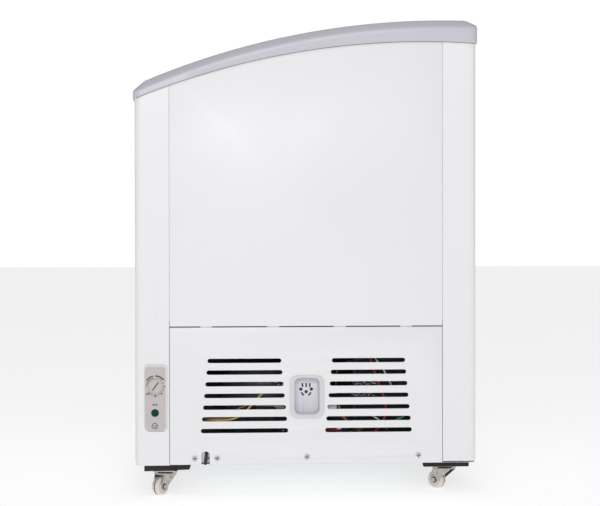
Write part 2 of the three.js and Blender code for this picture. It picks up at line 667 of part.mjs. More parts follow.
function fanBlade() {
  const back = CONDENSER.x0 - 1 - GAP - 50 + 3 + 5;
  const { hub, radius } = FAN;
  const hubProfile = [[0, back], [hub, back], [hub, back + 16], [hub - 4, back + 20], [0, back + 21]];
  const hubBody = turnedX(hubProfile, 16);
  const blades = [];
  for (let i = 0; i < 5; i += 1) {
    const blade = new THREE.Shape();
    blade.moveTo(-9, hub - 3);
    blade.lineTo(9, hub - 3);
    blade.lineTo(25, radius * 0.72);
    blade.lineTo(19, radius - 4);
    blade.lineTo(0, radius - 1);
    blade.lineTo(-17, radius - 7);
    const sheet = prism(blade, 2, AXIS_Y, AXIS_Z, AXIS_X).translate(-1, 0, 0);
    blades.push(sheet.rotateZ(THREE.MathUtils.degToRad(24)).translate(back + 10, 0, 0)
      .rotateX(i * 2 * Math.PI / 5));
  }
  const bore = rodX(4 + 0.4, back - 5, back + 12, 0, 0, 12);
  return cut(join(hubBody, ...blades), bore).translate(0, FAN.y, FAN.z);
}

function filterDrier() {
  const profile = [[0, -62], [3, -62], [3, -52], [10, -42], [10, 42], [3, 52], [3, 62], [0, 62]];
  return turnedZ(profile, 12).rotateX(0.3).translate(290, 60, 230);
}

// A rectangular helix of tube against the outside of the liner
function evaporatorCoil() {
  const offset = SHEET + COIL.radius + 0.8;
  const x = LINER_X - LEDGE + offset;
  const y = LINER_Y - LEDGE + offset;
  const corners = [[x, y, 0], [-x, y, 90], [-x, -y, 180], [x, -y, 270]];
  const points = [];
  for (let turn = 0; turn < COIL.turns; turn += 1) {
    corners.forEach(([cornerX, cornerY, start], index) => {
      for (const angle of [0, 30, 60, 90]) {
        const bend = THREE.MathUtils.degToRad(start + angle);
        const share = (index + 0.1 * angle / 90) / 4;
        points.push(new THREE.Vector3(
          cornerX - Math.sign(cornerX) * COIL.corner + COIL.corner * Math.cos(bend),
          cornerY - Math.sign(cornerY) * COIL.corner + COIL.corner * Math.sin(bend),
          COIL.z + (turn + share) * COIL.pitch));
      }
    });
  }
  return sweptAlong(points, COIL.radius, 6);
}

function dischargePipe() {
  const side = COMPRESSOR.y + COMPRESSOR.radius * COMPRESSOR.ovality + 1.2;
  const inletX = CONDENSER.x0 + 20;
  const inletZ = CONDENSER.z1 - 30;
  return tube([[COMPRESSOR.x, side, 120], [COMPRESSOR.x, side + 20, 120], [COMPRESSOR.x + 20, 52, 135],
    [CONDENSER.x0 + 8, 58, 175], [inletX, 60, 225], [inletX, 70, inletZ],
    [inletX, CONDENSER.y0 - 11.4, inletZ]],
  3, 26, 8);
}

// Leads from the terminal cover to the thermostat and to the fan motor, bound together at the cover
function wiringHarness() {
  const x = COMPRESSOR.x + COMPRESSOR.radius + 4 + GAP + 21 + 2.6;
  const y = COMPRESSOR.y - 12;
  const boot = rodZ(7, x + 5.5, y, 150, 162, 8);
  const thermostatLead = tube([[x + 5.5, y, 156], [x + 8, y - 6, 185], [x + 14, y - 18, 195],
    [x + 16, y - 30, 165], [x + 14, y - 50, 128], [x + 8, y - 90, 100], [x + 2, y - 150, 110],
    [x, DIAL.y + 2, 150],
    [x, DIAL.y, DIAL.z - 21]], 2.2, 26, 6);
  const motorY = FAN.y - 34 - 3;
  const fanLead = tube([[x + 5.5, y, 156], [x, y + 20, 205], [x - 30, y + 60, 262], [420, 50, 272],
    [390, 110, 262], [370, motorY, 215], [360, motorY, FAN.z]], 2.2, 22, 6);
  return join(boot, thermostatLead, fanLead);
}

// ---------------------------------------------------------------- controls, dock, cord boot, screws

const PLATE_BACK = BODY_X + GAP;

function controlPlate() {
  const { y, z, width, height, corner, thickness } = CONTROL;
  const plate = alongX(centredRectangle(y, z, width, height, corner), PLATE_BACK, PLATE_BACK + thickness);
  const bore = (spot, radius, sides) => rodX(radius, PLATE_BACK - 2, PLATE_BACK + 5, spot.y, spot.z, sides);
  const counterbore = rodX(CONTROL_SCREW.radius + GAP, PLATE_BACK + 0.7, PLATE_BACK + 5, CONTROL_SCREW.y,
    CONTROL_SCREW.z, 12);
  return cut(plate, bore(DIAL, DIAL.radius + 0.5, 24), bore(LAMP, LAMP.radius + 0.3, 16),
    bore(CONTROL_SCREW, 2.4, 10), counterbore);
}

function thermostatDial() {
  const face = PLATE_BACK + DIAL.thickness;
  const seat = PLATE_BACK + 0.2;
  const profile = [[0, DIAL.shaftEnd], [DIAL.shaft, DIAL.shaftEnd], [DIAL.shaft, seat], [DIAL.radius, seat],
    [DIAL.radius, face - 0.5], [DIAL.radius - 0.7, face], [0, face]];
  const disc = turnedX(profile, 24);
  const slot = block(face - 1, face + 2, -1.1, 1.1, -DIAL.radius * 0.55, DIAL.radius * 0.55);
  slot.rotateX(THREE.MathUtils.degToRad(-37));
  return cut(disc, slot).translate(0, DIAL.y, DIAL.z);
}

function thermostatBody() {
  const { width, height, back, front } = THERMOSTAT;
  const housing = alongX(centredRectangle(DIAL.y, DIAL.z, width, height, 3), back, front);
  const collar = rodX(6, front - 1, BODY_X - SHEET - GAP, DIAL.y, DIAL.z, 12);
  const bore = rodX(DIAL.shaft + 0.4, front - 12, BODY_X, DIAL.y, DIAL.z, 12);
  return cut(join(housing, collar), bore);
}

function pilotLamp() {
  const seat = PLATE_BACK + 0.2;
  const profile = [[0, LAMP.stemEnd], [LAMP.stem, LAMP.stemEnd], [LAMP.stem, seat], [LAMP.radius, seat],
    [LAMP.radius, seat + 1.1], [LAMP.radius * 0.7, seat + 1.9], [0, seat + 2.2]];
  return turnedX(profile, 20).translate(0, LAMP.y, LAMP.z);
}

// A pan-head screw along X
function screw(radius, headHeight, seat, y, z) {
  const profile = [[0, seat - 12], [2, seat - 12], [2, seat], [radius, seat],
    [radius * 0.94, seat + headHeight * 0.5], [radius * 0.6, seat + headHeight * 0.9],
    [0, seat + headHeight]];
  return turnedX(profile, 12).translate(0, y, z);
}

// A cup with a rim. Its back wall takes the pins of several kinds of parked plug.
function plugDock() {
  const { y, z, width, height, corner, openZ, openWidth, openHeight, openCorner, wall, depth, rim } = DOCK;
  const front = PLATE_BACK + rim;
  const back = front - depth;
  const rimPlate = alongX(centredRectangle(y, z, width, height, corner), PLATE_BACK, front);
  const cup = alongX(centredRectangle(y, openZ, openWidth + 2 * wall, openHeight + 2 * wall, openCorner + wall),
    back - 2, PLATE_BACK + 0.5);
  const hollow = alongX(centredRectangle(y, openZ, openWidth, openHeight, openCorner), back, front + 5);
  const pins = [];
  for (const slotY of [-6.8, 0, 6.8]) {
    pins.push(alongX(stadium(y + slotY, z + 19, y + slotY, z + 24, 1), back - 5, back + 2, 1));
  }
  for (const [pinY, pinZ] of [[-9.8, 14], [9.8, 14], [0, 9.3]]) {
    pins.push(rodX(2.3, back - 5, back + 2, y + pinY, z + pinZ, 8));
  }
  for (const side of [-1, 1]) {
    pins.push(alongX(stadium(y + side * 8.6, z + 8, y + side * 4.4, z + 2.5, 1), back - 5, back + 2, 1));
  }
  return cut(join(rimPlate, cup), hollow, ...pins);
}

// The bent boot that guides the supply cord out of the notch, hollow from its lower end
function cordBoot() {
  const { y } = CABLE_NOTCH;
  const route = [[498, y + 1, 80], [508, y + 1, 80], [514, y + 2, 75], [515.6, y + 0.6, 67],
    [515.6, y, BODY_BOTTOM]];
  const socket = rodZ(2, 515.6, y, BODY_BOTTOM - 5, BODY_BOTTOM + 5, 8);
  return cut(tube(route, 3.5, 14, 8), socket);
}

// ---------------------------------------------------------------- skids and casters

function skid({ y, outerEnd, innerEnd }) {
  const { top, bottom, topWidth, bottomWidth } = SKID;
  const section = polygon([[-topWidth / 2, top], [-bottomWidth / 2, bottom], [bottomWidth / 2, bottom],
    [topWidth / 2, top]]);
  const half = topWidth / 2;
  const plan = polygon([[-outerEnd, -half], [outerEnd, -half], [innerEnd, half], [-innerEnd, half]]);
  return overlap(alongX(section, -LENGTH, LENGTH), alongZ(plan, 0, 100)).translate(0, y, 0);
}

function casterPlate() {
  const { plate, plateTop, plateThickness, raceBottom, forkTop, forkThickness, kingPin } = CASTER;
  const top = alongZ(centredRectangle(0, 0, plate, plate, 5), plateTop - plateThickness, plateTop, 1);
  const pinHeadTop = forkTop - forkThickness - GAP;
  const stack = turnedZ([[0, pinHeadTop - 2.5], [5.5, pinHeadTop - 2.5], [6.5, pinHeadTop], [kingPin, pinHeadTop],
    [kingPin, raceBottom], [14, raceBottom], [15, plateTop - 1], [0, plateTop - 1]], 12);
  return join(top, stack);
}

// A stamped bridge with two legs down to the axle. The wheel trails along the fork's own +X.
function casterFork() {
  const { forkTop, forkThickness, trail, wheelRadius, wheelHalfWidth, legGap, legThickness } = CASTER;
  const { axle, kingPin } = CASTER;
  const legInner = wheelHalfWidth + legGap;
  const legOuter = legInner + legThickness;
  const bridge = join(rodZ(15.5, 0, 0, forkTop - forkThickness, forkTop, 16),
    block(-6, 14, -legOuter, legOuter, forkTop - forkThickness, forkTop));
  const leg = new THREE.Shape();
  leg.moveTo(-9, forkTop);
  leg.lineTo(-9, forkTop - 5);
  leg.absarc(trail, wheelRadius, 6.5, 1.18 * Math.PI, 2 * Math.PI, false);
  leg.lineTo(15, forkTop);
  const legs = [-legOuter, legInner].map((y) => alongY(leg, y, y + legThickness, 3));
  const axleBore = new THREE.CylinderGeometry(axle + GAP, axle + GAP, 60, 10).translate(trail, 0, wheelRadius);
  const pinBore = rodZ(kingPin + 0.6, 0, 0, forkTop - 10, forkTop + 10, 10);
  return cut(join(bridge, ...legs), axleBore, pinBore);
}

// A wheel of two halves with a groove between them
function casterWheel() {
  const { trail, wheelRadius, wheelHalfWidth, axle } = CASTER;
  const bore = axle + GAP;
  const side = [[bore, 8], [7, 8], [wheelRadius - 2.4, 7], [wheelRadius, 3], [wheelRadius, 1],
    [wheelRadius - 1.4, 0.8]];
  const mirrored = side.map(([radius, x]) => [radius, -x]).reverse();
  const widest = side[0][1];
  const profile = [...side, ...mirrored, side[0]].map(([radius, x]) => [radius, x * wheelHalfWidth / widest]);
  const points = profile.map(([radius, height]) => new THREE.Vector2(radius, height));
  return new THREE.LatheGeometry(points, 16).translate(trail, 0, wheelRadius);
}

function casterAxle() {
  const { trail, wheelRadius, wheelHalfWidth, legGap, legThickness, axle } = CASTER;
  const head = wheelHalfWidth + legGap + legThickness + GAP;
  const nutEnd = [[axle, head], [4.6, head], [4.6, head + 2.4], [2.6, head + 2.4], [2.6, head + 3.4],
    [0, head + 3.4]];
  const headEnd = nutEnd.map(([radius, y]) => [radius, -y]).reverse();
  const points = [...headEnd, ...nutEnd].map(([radius, y]) => new THREE.Vector2(radius, y));
  return new THREE.LatheGeometry(points, 6).translate(trail, 0, wheelRadius);
}

// ---------------------------------------------------------------- the whole freezer

const freezer = new THREE.Group();

function add(name, geometry, look, parent = freezer) {
  const mesh = new THREE.Mesh(toGeometry(toSolid(geometry)), new THREE.MeshStandardMaterial(look));
  mesh.name = name;
  parent.add(mesh);
}

add('front_panel', frontPanel(), FINISH.panel);
add('rear_panel', wrappedSheet(1, REAR_BOTTOM), FINISH.panel);
add('left_end_panel', endPanel(-1, BODY_BOTTOM), FINISH.panel);
add('upper_end_panel', endPanel(1, UPPER_PANEL_BOTTOM), FINISH.panel);
add('machine_cover', machineCover(), FINISH.panel);
add('liner', liner(), FINISH.liner);
add('insulation_foam', insulationFoam(), FINISH.foam);
add('bottom_plate', bottomPlate(), FINISH.galvanised);
add('compressor_base', compressorBase(), FINISH.galvanised);

add('front_rail', sideRail(-1), FINISH.trim);
add('rear_rail', sideRail(1), FINISH.trim);
add('left_end_rail', endRail(-1), FINISH.trim);
add('right_end_rail', endRail(1), FINISH.trim);

add('lower_lid_glass', lidGlass(-1, LOWER_LID_TOP), FINISH.glass);
add('lower_lid_outer_trim', outerTrim(-1, LOWER_LID_TOP, TRIM_WALL), FINISH.lidTrim);
add('lower_lid_inner_trim', innerTrim(-1, LOWER_LID_TOP), FINISH.lidTrim);
add('upper_lid_glass', lidGlass(1, UPPER_LID_TOP), FINISH.glass);
add('upper_lid_outer_trim', outerTrim(1, UPPER_LID_TOP, TRIM_WALL), FINISH.lidTrim);
add('upper_lid_inner_trim', innerTrim(1, UPPER_LID_TOP), FINISH.lidTrim);

add('left_basket', basket(-1), FINISH.basket);
add('right_basket', basket(1), FINISH.basket);

add('compressor', compressor(), FINISH.black);
add('terminal_cover', terminalCover(), FINISH.black);
add('condenser', condenser(), FINISH.aluminium);
add('fan_shroud', fanShroud(), FINISH.galvanised);
add('fan_motor', fanMotor(), FINISH.aluminium);
add('fan_blade', fanBlade(), FINISH.aluminium);
add('filter_drier', filterDrier(), FINISH.copper);
add('evaporator_coil', evaporatorCoil(), FINISH.aluminium);
add('discharge_pipe', dischargePipe(), FINISH.copper);
add('wiring_harness', wiringHarness(), FINISH.wire);

add('control_plate', controlPlate(), FINISH.control);
add('thermostat_dial', thermostatDial(), FINISH.control);
add('thermostat_body', thermostatBody(), FINISH.dock);
add('pilot_lamp', pilotLamp(), FINISH.lamp);
add('control_screw', screw(CONTROL_SCREW.radius, 1.5, PLATE_BACK + 1, CONTROL_SCREW.y, CONTROL_SCREW.z),
  FINISH.zinc);
add('plug_dock', plugDock(), FINISH.dock);
add('cord_boot', cordBoot(), FINISH.black);
COVER_SCREWS.forEach(([y, z], i) => {
  add(`cover_screw_${i + 1}`, screw(5, 2.1, PLATE_BACK, y, z), FINISH.zinc);
});

add('front_skid', skid(FRONT_SKID), FINISH.skid);
add('rear_skid', skid(REAR_SKID), FINISH.skid);

for (const { name, x, y, heading } of CASTERS) {
  const mount = new THREE.Group();
  mount.position.set(x, y, 0);
  freezer.add(mount);
  const swivel = new THREE.Group();
  swivel.rotation.z = THREE.MathUtils.degToRad(heading);
  mount.add(swivel);
  add(`${name}_caster_plate`, casterPlate(), FINISH.zinc, mount);
  add(`${name}_caster_fork`, casterFork(), FINISH.zinc, swivel);
  add(`${name}_caster_axle`, casterAxle(), FINISH.zinc, swivel);
  add(`${name}_caster_wheel`, casterWheel(), FINISH.wheel, swivel);
}

export default freezer;
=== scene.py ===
"""The looks of a curved-top display freezer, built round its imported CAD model.

Lengths are in millimetres here, in the CAD frame, and turn to metres where a mesh is made.
"""

import math
import random

import bmesh
import bpy
from mathutils import Matrix, Vector


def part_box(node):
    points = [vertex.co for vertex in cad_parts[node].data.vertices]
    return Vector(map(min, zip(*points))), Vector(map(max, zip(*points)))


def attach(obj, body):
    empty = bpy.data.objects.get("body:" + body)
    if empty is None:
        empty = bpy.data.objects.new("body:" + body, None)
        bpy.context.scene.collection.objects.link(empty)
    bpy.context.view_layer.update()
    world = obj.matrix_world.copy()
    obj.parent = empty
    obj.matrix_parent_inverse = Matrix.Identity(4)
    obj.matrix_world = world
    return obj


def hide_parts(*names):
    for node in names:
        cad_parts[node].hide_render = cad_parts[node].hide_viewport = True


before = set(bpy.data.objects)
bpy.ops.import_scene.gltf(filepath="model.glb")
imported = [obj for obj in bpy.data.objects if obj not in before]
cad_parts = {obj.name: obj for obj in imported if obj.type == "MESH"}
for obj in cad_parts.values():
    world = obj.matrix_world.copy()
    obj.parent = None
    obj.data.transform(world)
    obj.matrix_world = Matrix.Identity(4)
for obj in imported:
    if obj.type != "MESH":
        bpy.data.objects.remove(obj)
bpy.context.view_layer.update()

MM = 0.001

# ---------------------------------------------------------------- dimensions shared with the CAD model

SHEET = 1.2
BODY_X = 522.0
BODY_Y = 312.0
FRAME_X = 525.0
FRAME_Y = 315.0
CORNER_RADIUS = 12.0
SEAM_Y = 250.0
PANEL_EDGE_Y = 249.2
CREST = {"y": 260.0, "z": 871.2, "radius": 1412.0}
SKIRT = {"y": 221.0, "z": 830.6, "radius": 1392.0}
PANEL_RISE = 7.5
RAIL_RISE = 7.8
RAIL_WIDTH = 70.0
SIDE_BEVEL = 20.0
SIDE_DROP = 9.5
END_BEVEL = 16.0
END_DROP = 14.0
FRAME_CORNER = 14.0
RAIL_JOINT_X = 455.0
LEG_DEPTH = 45.0
GLASS = 5.0
UPPER_LID_TOP = 12.0
LOWER_LID_TOP = 25.0
TRIM_WALL = 3.7
SLOT_ROWS = 7
SLOT_TOP_Z = 248.1
SLOT_PITCH = 21.25
SLOT_LENGTHS = (134.3, 159.0)
SLOT_HEIGHT = 7.9
SLOT_GROUP_Y = 113.4
NOTCH_Y = -184.3
NOTCH_HALF = 7.5
NOTCH_TOP = 83.3
COVER_SCREWS = [(-204.0, 70.7), (-163.5, 70.8), (0.3, 71.9), (205.0, 73.2)]
FLANGE_FACE = 522.3
DOCK_Y = 0.8
DOCK_OPENING_RISE = 1.4  # the recess sits this far above the middle of its rim
CASTERS = {
    "front_right": (482.0, -258.0, -40.0),
    "rear_right": (450.0, 262.0, -130.0),
    "front_left": (-482.0, -258.0, 155.0),
    "rear_left": (-450.0, 262.0, 25.0),
}


def arc_z(arc, y, rise=0.0):
    """Height of one of the top's two arcs at a depth y."""
    return arc["z"] - arc["radius"] + math.sqrt((arc["radius"] + rise) ** 2 - (y - arc["y"]) ** 2)


def lerp(a, b, share):
    return a + (b - a) * share


def spaced(start, end, count):
    """count values from start to end, both included."""
    return [lerp(start, end, i / (count - 1)) for i in range(count)]


def smooth_step(value):
    value = min(max(value, 0.0), 1.0)
    return value * value * (3 - 2 * value)


def box_mm(node):
    low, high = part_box(node)
    return low / MM, high / MM


def middle(node):
    """Y and Z of a node's centre."""
    low, high = box_mm(node)
    return (low.y + high.y) / 2, (low.z + high.z) / 2


# ---------------------------------------------------------------- materials


class Surface:
    """A Principled material whose textures are laid out in the object's own coordinates."""

    def __init__(self, name, colour, roughness, metallic=0.0, **sockets):
        self.material = bpy.data.materials.new(name)
        self.material.use_nodes = True
        self.tree = self.material.node_tree
        self.shader = self.tree.nodes["Principled BSDF"]
        self.colour = colour
        self.roughness = roughness
        self.shader.inputs["Metallic"].default_value = metallic
        for socket, value in sockets.items():
            self.shader.inputs[socket.replace("_", " ")].default_value = value
        self.coordinates = self.node("ShaderNodeTexCoord").outputs["Object"]
        self.height = None

    def node(self, kind, **inputs):
        made = self.tree.nodes.new(kind)
        for socket, value in inputs.items():
            made.inputs[socket].default_value = value
        return made

    def link(self, source, target):
        self.tree.links.new(source, target)

    def stretched(self, stretch):
        if stretch == (1, 1, 1):
            return self.coordinates
        mapping = self.node("ShaderNodeMapping", Scale=stretch)
        self.link(self.coordinates, mapping.inputs["Vector"])
        return mapping.outputs["Vector"]

    def noise(self, size, detail=3.0, stretch=(1, 1, 1)):
        """A 0 to 1 noise whose blobs are about size millimetres across."""
        noise = self.node("ShaderNodeTexNoise", Scale=1 / (size * MM), Detail=detail)
        self.link(self.stretched(stretch), noise.inputs["Vector"])
        return noise.outputs["Fac"]

    def cells(self, size, feature="F1", output="Distance"):
        cells = self.node("ShaderNodeTexVoronoi", Scale=1 / (size * MM))
        cells.feature = feature
        self.link(self.coordinates, cells.inputs["Vector"])
        return cells.outputs[output]

    def ranged(self, value, low, high, source=(0.3, 0.7)):
        """Spreads a texture's middle range over low to high."""
        made = self.node("ShaderNodeMapRange")
        made.inputs["From Min"].default_value = source[0]
        made.inputs["From Max"].default_value = source[1]
        made.inputs["To Min"].default_value = low
        made.inputs["To Max"].default_value = high
        self.link(value, made.inputs["Value"])
        return made.outputs["Result"]

    def mottled(self, amount, size, other=None, stretch=(1, 1, 1), source=None):
        """Colour that drifts between two close shades."""
        base = Vector(self.colour)
        dark = base * (1 - amount) if other is None else Vector(other)
        light = base * (1 + amount) if other is None else base
        mix = self.node("ShaderNodeMix")
        mix.data_type = "RGBA"
        mix.inputs["A"].default_value = (*dark, 1)
        mix.inputs["B"].default_value = (*[min(c, 1.0) for c in light], 1)
        texture = self.noise(size, stretch=stretch) if source is None else source
        self.link(self.ranged(texture, 0.0, 1.0), mix.inputs["Factor"])
        self.link(mix.outputs["Result"], self.shader.inputs["Base Color"])
        return self

    def uneven(self, amount, size, stretch=(1, 1, 1)):
        """Roughness that varies from place to place, as handling leaves it."""
        low, high = max(self.roughness - amount, 0.02), self.roughness + amount
        self.link(self.ranged(self.noise(size, 2.0, stretch), low, high), self.shader.inputs["Roughness"])
        return self

    def bumped(self, texture, depth):
        """Relief of a depth in millimetres. Calls stack."""
        bump = self.node("ShaderNodeBump", Distance=depth * MM)
        self.link(texture, bump.inputs["Height"])
        if self.height is not None:
            self.link(self.height, bump.inputs["Normal"])
        self.height = bump.outputs["Normal"]
        self.link(self.height, self.shader.inputs["Normal"])
        return self


def plain(name, colour, roughness, metallic=0.0, mottle=0.03, mottle_size=60, vary=0.05, grain=0.02,
          grain_size=0.9, **sockets):
    """The usual finish: faint mottle, uneven gloss and a fine grain."""
    made = Surface(name, colour, roughness, metallic, **sockets)
    made.mottled(mottle, mottle_size).uneven(vary, mottle_size * 0.4)
    return made.bumped(made.noise(grain_size, 2.0), grain)


def powder_coat():
    made = Surface("panel_powder_coat", (0.845, 0.845, 0.862), 0.38, Coat_Weight=0.12, Coat_Roughness=0.25)
    made.mottled(0.006, 300).uneven(0.05, 90)
    made.bumped(made.noise(240, 1.0), 0.35)
    return made.bumped(made.noise(1.7, 2.0), 0.012)


def stucco():
    made = Surface("liner_stucco", (0.84, 0.86, 0.88), 0.34, 0.25)
    made.mottled(0.02, 120).uneven(0.05, 30)
    return made.bumped(made.cells(5.5, "SMOOTH_F1"), 0.35)


def galvanised():
    made = Surface("galvanised_spangle", (0.50, 0.52, 0.54), 0.42, 0.85)
    made.mottled(0.16, 12, source=made.cells(9.0, output="Color")).uneven(0.1, 14)
    return made.bumped(made.noise(4.0), 0.02)


def rolled(name, colour, roughness, stretch):
    """Metal with a fine lengthwise grain."""
    made = Surface(name, colour, roughness, 1.0)
    made.mottled(0.10, 9, stretch=stretch).uneven(0.10, 3, stretch)
    return made.bumped(made.noise(1.2, 3.0, stretch), 0.02)


def zinc_plate():
    made = Surface("zinc_plate", (0.60, 0.585, 0.55), 0.36, 0.9)
    made.mottled(0.12, 7, other=(0.42, 0.40, 0.35)).uneven(0.12, 5)
    return made.bumped(made.noise(1.4), 0.02)


def cast_paint(name, colour, roughness):
    """Thick enamel on a casting or a deep drawing."""
    made = Surface(name, colour, roughness, 0.0, Coat_Weight=0.3, Coat_Roughness=0.2)
    made.mottled(0.2, 20).uneven(0.08, 12)
    return made.bumped(made.noise(2.6, 4.0), 0.08)


def foam_surface():
    made = Surface("polyurethane_foam", (0.78, 0.70, 0.44), 0.92)
    made.mottled(0.10, 14).uneven(0.04, 12)
    return made.bumped(made.cells(2.2), 0.5)


def clear_glass():
    made = Surface("tempered_glass", (0.93, 0.985, 0.965), 0.03, Transmission_Weight=1.0, IOR=1.5, Alpha=0.4)
    made.mottled(0.012, 200).uneven(0.012, 60)
    return made.bumped(made.noise(180, 1.0), 0.02)


LOOKS = {
    "panel": powder_coat(),
    "liner": stucco(),
    "foam": foam_surface(),
    "galvanised": galvanised(),
    "trim": plain("frame_plastic", (0.565, 0.562, 0.624), 0.40, mottle=0.012, mottle_size=160, vary=0.04,
                  grain=0.015, grain_size=0.8, Coat_Weight=0.2, Coat_Roughness=0.14),
    "lid_trim": plain("lid_plastic", (0.53, 0.53, 0.58), 0.42, mottle=0.015, mottle_size=90, grain=0.02),
    "glass": clear_glass(),
    "basket": plain("wire_coating", (0.84, 0.84, 0.84), 0.30, mottle=0.02, mottle_size=25, grain=0.05,
                    grain_size=2.5, Coat_Weight=0.3),
    "black_paint": cast_paint("compressor_enamel", (0.055, 0.075, 0.098), 0.45),
    # Dark paint on the fan shroud and the condenser's side plates, and painted shade on the base sheet
    "dark_steel": plain("dark_steel_paint_and_shade", (0.15, 0.19, 0.235), 0.6, mottle=0.15, mottle_size=40),
    "fin": plain("fin_coating", (0.25, 0.30, 0.36), 0.55, 0.0, mottle=0.15, mottle_size=15),
    # Darkened zinc: on the fork legs' inner faces it is painted shade; it also makes the darker washers under
    # the axle nuts
    "darkened_steel": plain("darkened_steel", (0.10, 0.105, 0.13), 0.45, 0.5, mottle=0.12, mottle_size=10),
    "screw": plain("bright_screw", (0.62, 0.62, 0.64), 0.38, 0.45, mottle=0.08, mottle_size=4, grain=0.01),
    "black_plastic": plain("black_plastic", (0.022, 0.022, 0.024), 0.45, mottle=0.15, mottle_size=20),
    "motor": cast_paint("motor_shell", (0.30, 0.31, 0.32), 0.45),
    "aluminium": rolled("fin_aluminium", (0.66, 0.67, 0.68), 0.34, (1, 1, 6)),
    "copper": rolled("dull_copper", (0.40, 0.20, 0.13), 0.42, (1, 1, 1)),
    "zinc": zinc_plate(),
    "control": plain("control_film", (0.56, 0.515, 0.515), 0.46, mottle=0.012, mottle_size=25, grain=0.015),
    "control_edge": plain("control_plastic", (0.72, 0.715, 0.71), 0.42, mottle=0.012, mottle_size=25,
                          grain=0.015),
    "lamp": plain("lamp_lens", (0.003, 0.052, 0.042), 0.35, mottle=0.2, mottle_size=5, vary=0.03,
                  grain=0.01, Specular_IOR_Level=0.1),
    "dock": plain("dock_plastic", (0.68, 0.68, 0.705), 0.40, mottle=0.012, mottle_size=30, grain=0.012),
    # The recess's back wall: the rim's plastic made lighter as painted light
    "dock_wall_lightened": plain("dock_wall_painted_light", (0.86, 0.86, 0.92), 0.36, mottle=0.012, mottle_size=30,
                       grain=0.012),
    "skid": plain("skid_plastic", (0.008, 0.0075, 0.010), 0.6, mottle=0.15, mottle_size=30, grain=0.06,
                  grain_size=1.5),
    "wheel": plain("wheel_nylon", (0.76, 0.70, 0.66), 0.42, mottle=0.05, mottle_size=12, grain=0.03),
    "groove": plain("wheel_groove", (0.20, 0.085, 0.06), 0.6, mottle=0.25, mottle_size=6, grain=0.05),
    "rubber": plain("rubber", (0.03, 0.03, 0.03), 0.7, mottle=0.15, mottle_size=12, grain=0.05),
    # Black used for print on the plate and the dial's pointer, and as painted shade on the floors of the
    # screws' cross recesses
    "ink_and_shade": plain("print_and_painted_shade", (0.05, 0.046, 0.05), 0.6, mottle=0.1, mottle_size=2, grain=0.005),
    "label": plain("blank_label", (0.86, 0.84, 0.83), 0.35, mottle=0.02, mottle_size=15, grain=0.01),
    # Dark grey used only as painted shadow: at the seams' feet, under the end rails' skirts and under the
    # control plate
    "painted_shadow": plain("painted_shadow_strip", (0.16, 0.16, 0.17), 0.7, mottle=0.1, mottle_size=20, grain=0.03),
    # Grey of the folded edge behind the end panels' seams, darker than the panel's own white as painted shade
    # in the seam
    "seam_fold_shade": plain("seam_fold_painted_shade", (0.66, 0.66, 0.67), 0.5, mottle=0.02, mottle_size=60),
}
# Colour, roughness and mottle of the leads' sleeves
SLEEVES = {
    "yellow": ((0.76, 0.50, 0.15), 0.4, 0.06),
    "red": ((0.42, 0.03, 0.025), 0.4, 0.06),
    "brown": ((0.20, 0.095, 0.04), 0.45, 0.06),
    "white": ((0.80, 0.80, 0.81), 0.4, 0.04),
    "green": ((0.05, 0.24, 0.10), 0.4, 0.06),
    "bronze": ((0.45, 0.22, 0.10), 0.4, 0.06),
}
for sleeve, (sleeve_colour, sleeve_gloss, sleeve_mottle) in SLEEVES.items():
    LOOKS[f"{sleeve}_lead"] = plain(f"lead_{sleeve}", sleeve_colour, sleeve_gloss, mottle=sleeve_mottle,
                                    mottle_size=20, grain=0.03)


# ---------------------------------------------------------------- shapes, as (points, faces)


def loft(rings, closed=False, capped=True):
    """Rings with equal numbers of points, joined in order. closed joins the last ring to the first."""
    count = len(rings[0])
    points = [Vector(p) for ring in rings for p in ring]
    faces = []
    pairs = len(rings) if closed else len(rings) - 1
    for ring in range(pairs):
        low = ring * count
        high = ((ring + 1) % len(rings)) * count
        for i in range(count):
            j = (i + 1) % count
            faces.append((low + i, low + j, high + j, high + i))
    if capped and not closed:
        faces.append(tuple(reversed(range(count))))
        faces.append(tuple((len(rings) - 1) * count + i for i in range(count)))
    return points, faces


def moved(shape, matrix):
    points, faces = shape
    return [matrix @ p for p in points], faces


def arc_points(u, v, radius, start, end, steps):
    """Points of an arc, with its angles in degrees."""
    turns = [math.radians(a) for a in spaced(start, end, steps + 1)]
    return [(u + radius * math.cos(a), v + radius * math.sin(a)) for a in turns]


def rounded_rectangle(u, v, width, height, radius, steps=6):
    """A closed outline about a centre."""
    outline = []
    for turn, (su, sv) in enumerate([(1, 1), (-1, 1), (-1, -1), (1, -1)]):
        cu = u + su * (width / 2 - radius)
        cv = v + sv * (height / 2 - radius)
        outline += arc_points(cu, cv, radius, 90 * turn, 90 * turn + 90, steps)
    return outline


def stadium(u0, u1, v, radius, steps=8):
    """A slot with round ends, lying along u."""
    return arc_points(u1, v, radius, -90, 90, steps) + arc_points(u0, v, radius, 90, 270, steps)


def circle(u, v, radius, steps=24):
    return arc_points(u, v, radius, 0, 360, steps)[:-1]


def prism(outline, low, high, axis):
    """An outline drawn out along X (from YZ), Y (from XZ) or Z (from XY)."""
    place = {
        "x": lambda u, v, w: (w, u, v),
        "y": lambda u, v, w: (u, w, v),
        "z": lambda u, v, w: (u, v, w),
    }[axis]
    return loft([[place(u, v, w) for u, v in outline] for w in (low, high)])


def block(x0, x1, y0, y1, z0, z1):
    return prism([(x0, y0), (x1, y0), (x1, y1), (x0, y1)], z0, z1, "z")


def lathe(profile, sides, place=Matrix.Identity(4)):
    """A profile of (radius, height) turned about Z, then put in place."""
    rings = []
    for i in range(sides):
        turn = 2 * math.pi * i / sides
        rings.append([(r * math.cos(turn), r * math.sin(turn), h) for r, h in profile])
    return moved(loft(rings, closed=True), place)


def along_x(x, y, z):
    """Puts a shape turned about Z so that its axis points along +X from a point."""
    return Matrix.Translation((x, y, z)) @ Matrix.Rotation(math.pi / 2, 4, "Y")


